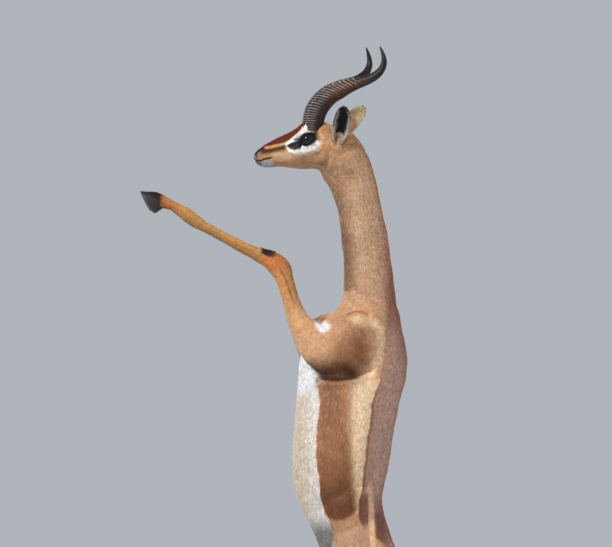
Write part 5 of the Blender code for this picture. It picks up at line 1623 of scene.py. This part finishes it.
def horn_material():
    made, tree, shader = nodes_of("horn_keratin", 0.48, 0.22)
    base = attribute(tree, "Col").outputs["Color"]
    coordinates = tree.nodes.new("ShaderNodeTexCoord").outputs["Object"]
    fine = noise(tree, 900.0, 3.0, coordinates)
    wide = noise(tree, 60.0, 4.0, coordinates)
    tone = mixed(tree, (0.70, 0.68, 0.66), (1.25, 1.22, 1.20), ranged(tree, wide, 0.0, 1.0, 0.3, 0.7))
    base = mixed(tree, base, tone, 1.0, "MULTIPLY")
    tone = mixed(tree, (0.85, 0.85, 0.85), (1.12, 1.12, 1.12), fine)
    base = mixed(tree, base, tone, 1.0, "MULTIPLY")
    tree.links.new(base, shader.inputs["Base Color"])
    tree.links.new(ranged(tree, wide, 0.30, 0.52), shader.inputs["Roughness"])
    bump(tree, shader, fine, 0.35, 0.0005)
    return made


def hoof_material():
    made, tree, shader = nodes_of("hoof_keratin", 0.42, 0.45)
    base = attribute(tree, "Col").outputs["Color"]
    fine = noise(tree, 500.0, 4.0)
    tone = mixed(tree, (0.72, 0.70, 0.68), (1.5, 1.42, 1.35), ranged(tree, fine, 0.0, 1.0, 0.35, 0.75))
    base = mixed(tree, base, tone, 1.0, "MULTIPLY")
    tree.links.new(base, shader.inputs["Base Color"])
    tree.links.new(ranged(tree, fine, 0.34, 0.60), shader.inputs["Roughness"])
    bump(tree, shader, fine, 0.4, 0.0006)
    return made


def eye_material():
    made, tree, shader = nodes_of("eye_wet", 0.10, 0.18)
    shader.inputs["Coat Weight"].default_value = 0.30
    shader.inputs["Coat Roughness"].default_value = 0.02
    base = attribute(tree, "Col").outputs["Color"]
    fine = noise(tree, 1200.0, 3.0)
    tone = mixed(tree, (0.75, 0.75, 0.75), (1.2, 1.15, 1.1), fine)
    base = mixed(tree, base, tone, 1.0, "MULTIPLY")
    tree.links.new(base, shader.inputs["Base Color"])
    return made


def base_material():
    made, tree, shader = nodes_of("plinth_wood", 0.5, 0.4)
    coordinates = tree.nodes.new("ShaderNodeTexCoord").outputs["Object"]
    stretch = tree.nodes.new("ShaderNodeMapping")
    stretch.inputs["Scale"].default_value = (3.0, 42.0, 42.0)
    tree.links.new(coordinates, stretch.inputs["Vector"])
    warp = noise(tree, 1.0, 5.0, stretch.outputs["Vector"], 0.6)
    pores = noise(tree, 9.0, 3.0, stretch.outputs["Vector"], 0.5)
    grain = ranged(tree, warp, 0.0, 1.0, 0.32, 0.68)
    base = mixed(tree, tuple(linear((124, 92, 66))), tuple(linear((166, 132, 98))), grain)
    tone = mixed(tree, (0.70, 0.68, 0.66), (1.04, 1.04, 1.04), ranged(tree, pores, 0.0, 1.0, 0.30, 0.46))
    base = mixed(tree, base, tone, 1.0, "MULTIPLY")
    tree.links.new(base, shader.inputs["Base Color"])
    tree.links.new(ranged(tree, warp, 0.42, 0.58), shader.inputs["Roughness"])
    bump(tree, shader, pores, 0.18, 0.0005)
    return made


def floor_material():
    made, tree, shader = nodes_of("floor_plain", 0.85, 0.2)
    base = mixed(tree, (0.66, 0.665, 0.67), (0.70, 0.705, 0.71), noise(tree, 1.4, 3.0))
    tree.links.new(base, shader.inputs["Base Color"])
    return made


# ---------------------------------------------------------------- studio and camera
def area_light(name, place, target, size, power, colour=(1, 1, 1)):
    data = bpy.data.lights.new(name, "AREA")
    data.shape = "RECTANGLE"
    data.size, data.size_y = size
    data.energy = power
    data.color = colour
    made = bpy.data.objects.new(name, data)
    bpy.context.scene.collection.objects.link(made)
    made.location = place
    made.rotation_euler = (Vector(target) - Vector(place)).to_track_quat("-Z", "Y").to_euler()
    return made


def studio():
    middle = (0.0, 0.0, 1.45)
    area_light("key", (-3.6, -4.6, 4.6), middle, (1.8, 1.8), 430, (1.0, 0.97, 0.93))
    area_light("fill", (4.4, -4.2, 2.4), middle, (3.0, 3.0), 60, (0.95, 0.97, 1.0))
    area_light("rim", (2.6, 4.4, 3.6), middle, (2.4, 2.4), 150, (1.0, 0.98, 0.95))
    area_light("back_fill", (-3.6, 4.2, 2.6), middle, (3.0, 3.0), 90)
    world = bpy.data.worlds.new("studio")
    bpy.context.scene.world = world
    world.use_nodes = True
    back = world.node_tree.nodes["Background"]
    back.inputs["Color"].default_value = (0.86, 0.92, 1.0, 1.0)
    back.inputs["Strength"].default_value = 0.50
    bm = bmesh.new()
    bmesh.ops.create_circle(bm, cap_ends=True, radius=7.0, segments=96)
    bmesh.ops.translate(bm, verts=bm.verts, vec=(0, 0, -0.0006))
    mesh = bpy.data.meshes.new("floor")
    bm.to_mesh(mesh)
    bm.free()
    floor = new_object("floor", mesh)
    floor.data.materials.append(floor_material())


def camera():
    data = bpy.data.cameras.new("view")
    data.lens, data.sensor_width = 735.3, 36.0
    data.clip_start, data.clip_end = 0.1, 100.0
    made = bpy.data.objects.new("view", data)
    bpy.context.scene.collection.objects.link(made)
    back = Vector((-SIN, -COS, 0.0))
    middle = Vector((COS, -SIN, 0.0)) * -0.1176
    made.location = Vector((middle.x, middle.y, 1.6366)) + back * 30.0
    made.rotation_euler = (math.radians(90), 0.0, -TURN)
    bpy.context.scene.camera = made


# ---------------------------------------------------------------- putting it together
FLESH = [n for n in frame["nodes"] if not n.startswith(("eye_", "horn_", "claw_", "stand_"))]


def build():
    scene = bpy.context.scene
    scene.view_settings.view_transform = "Standard"
    camera()
    studio()
    hair, hide = coat_material(), skin_material()

    skin = skin_mesh()
    mesh = skin.data
    sculpt(mesh)
    skin = new_object("skin", mesh)
    co, no = coords(mesh), normals(mesh)
    place = Place(co)
    paint(mesh, markings(co, no, place))
    across = np.arctan2(place.fv, place.fu) * 0.06
    lay = mesh.attributes.new("Lie", "FLOAT_VECTOR", "POINT")
    along = place.station * 0.03
    lay.data.foreach_set("vector", np.stack([along, across, place.part * 3.0], 1).astype(np.float32).ravel())
    mesh.materials.clear()
    mesh.materials.append(hide)
    mesh.shade_smooth()
    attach(skin, "root")
    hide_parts(*FLESH)

    # short tufts everywhere, smaller and closer on the face, the ears and the feet
    surface = surface_of(mesh)
    middle = surface[3]
    where = Place(middle)
    dense = np.full(len(middle), 1.0)
    dense = np.where(where.on("head"), 3.0, dense)
    dense = np.where(where.on("neck"), 1.25, dense)
    dense = np.where(where.on("fore_left", "fore_right", "hind_left", "hind_right") & (where.station > 11), 1.7, dense)
    dense = np.where(ear_share(middle)[0] != 0, 3.2, dense)
    for k in (-1, 1):
        f, dist, _, _ = opening(middle, k)
        dense = np.where((dist < 0.034) & (f < 1.16), 0.0, dense)
    c, r = where.col, where.row
    bare = where.on("head") & ((c < 256.6) | (line_distance(c, r, NOSTRIL) < 1.5) | (line_distance(c, r, MOUTH) < 0.9))
    dense = np.where(bare, 0.0, dense)

    p, n = roots(surface, COAT_TUFTS, dense)
    spot = Place(p)
    way = lie(p, n, spot)
    colour = markings(p, n, spot)
    vary = np.where(spot.on("neck") | (spot.on("head") & (spot.col > 290)), 0.17, 0.11)
    colour *= (1 + vary * RNG.normal(size=len(p)).clip(-2, 2))[:, None]
    uv = unwrap(p, n, spot)
    side, _, _ = ear_share(p)
    length = np.full(len(p), 0.0105)
    length = np.where(spot.on("neck"), 0.0095, length)
    length = np.where(spot.on("head"), 0.0042 + 0.0040 * smooth(spot.col, 285, 345), length)
    legs = spot.on("fore_left", "fore_right", "hind_left", "hind_right")
    length = np.where(legs, 0.0100 - 0.0038 * smooth(spot.station, 8, 14), length)
    length = np.where(spot.on("tail"), 0.012, length)
    length = np.where(side != 0, 0.0048, length)
    length *= 0.75 + 0.5 * RNG.random(len(p))
    width = np.clip(length * 0.15, 0.0007, 0.0015) * (0.8 + 0.4 * RNG.random(len(p)))
    lift = length * (0.10 + 0.10 * RNG.random(len(p)))
    data = spikes(p, n, way, length, width, lift, colour, uv)
    # pieces by region, each under 200,000 triangles
    groups = {"coat_head": spot.on("head") | (side != 0), "coat_neck": spot.on("neck") & (side == 0),
              "coat_legs_fore": spot.on("fore_left", "fore_right"), "coat_legs_hind": spot.on("hind_left", "hind_right"),
              "coat_tail": spot.on("tail")}
    trunk = spot.on("trunk") & (side == 0)
    groups["coat_chest"] = trunk & (spot.row < 400)
    groups["coat_flank"] = trunk & (spot.row >= 400) & (spot.row < 500)
    groups["coat_rump"] = trunk & (spot.row >= 500)
    v, f, nor, shade, uvs = data
    for name, pick in groups.items():
        index = np.flatnonzero(pick)
        parts = max(1, math.ceil(len(index) * 4 / 195000))
        for k, chunk in enumerate(np.array_split(index, parts)):
            rows = (chunk[:, None] * 4 + np.arange(4)).ravel()
            faces = (np.arange(len(chunk))[:, None, None] * 4
                     + SPIKE_FACES[None]).reshape(-1, 3)
            piece = coat_piece(name if parts == 1 else "%s_%d" % (name, k + 1),
                               (v[rows], faces, nor[rows], shade[rows], uvs[rows]))
            piece.data.materials.append(hair)
            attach(piece, "root")
            print("coat", piece.name, len(piece.data.polygons))

    for name, p, n, spot, way, length, width, lift, droop, tint, share in long_hair(surface, where):
        colour = markings(p, n, spot)
        colour = colour * (1 - share) + linear(tint) * share
        colour *= (1 + 0.14 * RNG.normal(size=len(p)).clip(-2, 2))[:, None]
        piece = coat_piece(name, locks(p, n, way, length, width, lift, colour, unwrap(p, n, spot), droop))
        piece.data.materials.append(hair)
        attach(piece, "root")
        print("coat", name, len(piece.data.polygons))

    horn_look, eye_look, hoof_look = horn_material(), eye_material(), hoof_material()
    for side, tag in ((-1, "left"), (1, "right")):
        for kind, make, look, slot in (("horn", horn_mesh, horn_look, "horn"), ("eye", eye_mesh, eye_look, "eye")):
            made = new_object("%s_%s_shape" % (kind, tag), make(kind, side))
            made.data.materials.append(look)
            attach(made, "root")
            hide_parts("%s_%s" % (kind, tag))
    for leg, (origin, pitch) in foot_places().items():
        for side, tag in ((-1, "outer" if "left" in leg else "inner"), (1, "inner" if "left" in leg else "outer")):
            name = "claw_%s_%s" % (leg, tag)
            made = new_object(name + "_shape", claw_mesh(name, origin, side, pitch))
            made.data.materials.append(hoof_look)
            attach(made, "root")
            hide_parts(name)
    plinth = frame["nodes"]["stand_base"]
    plinth.data.materials.clear()
    plinth.data.materials.append(base_material())


build()
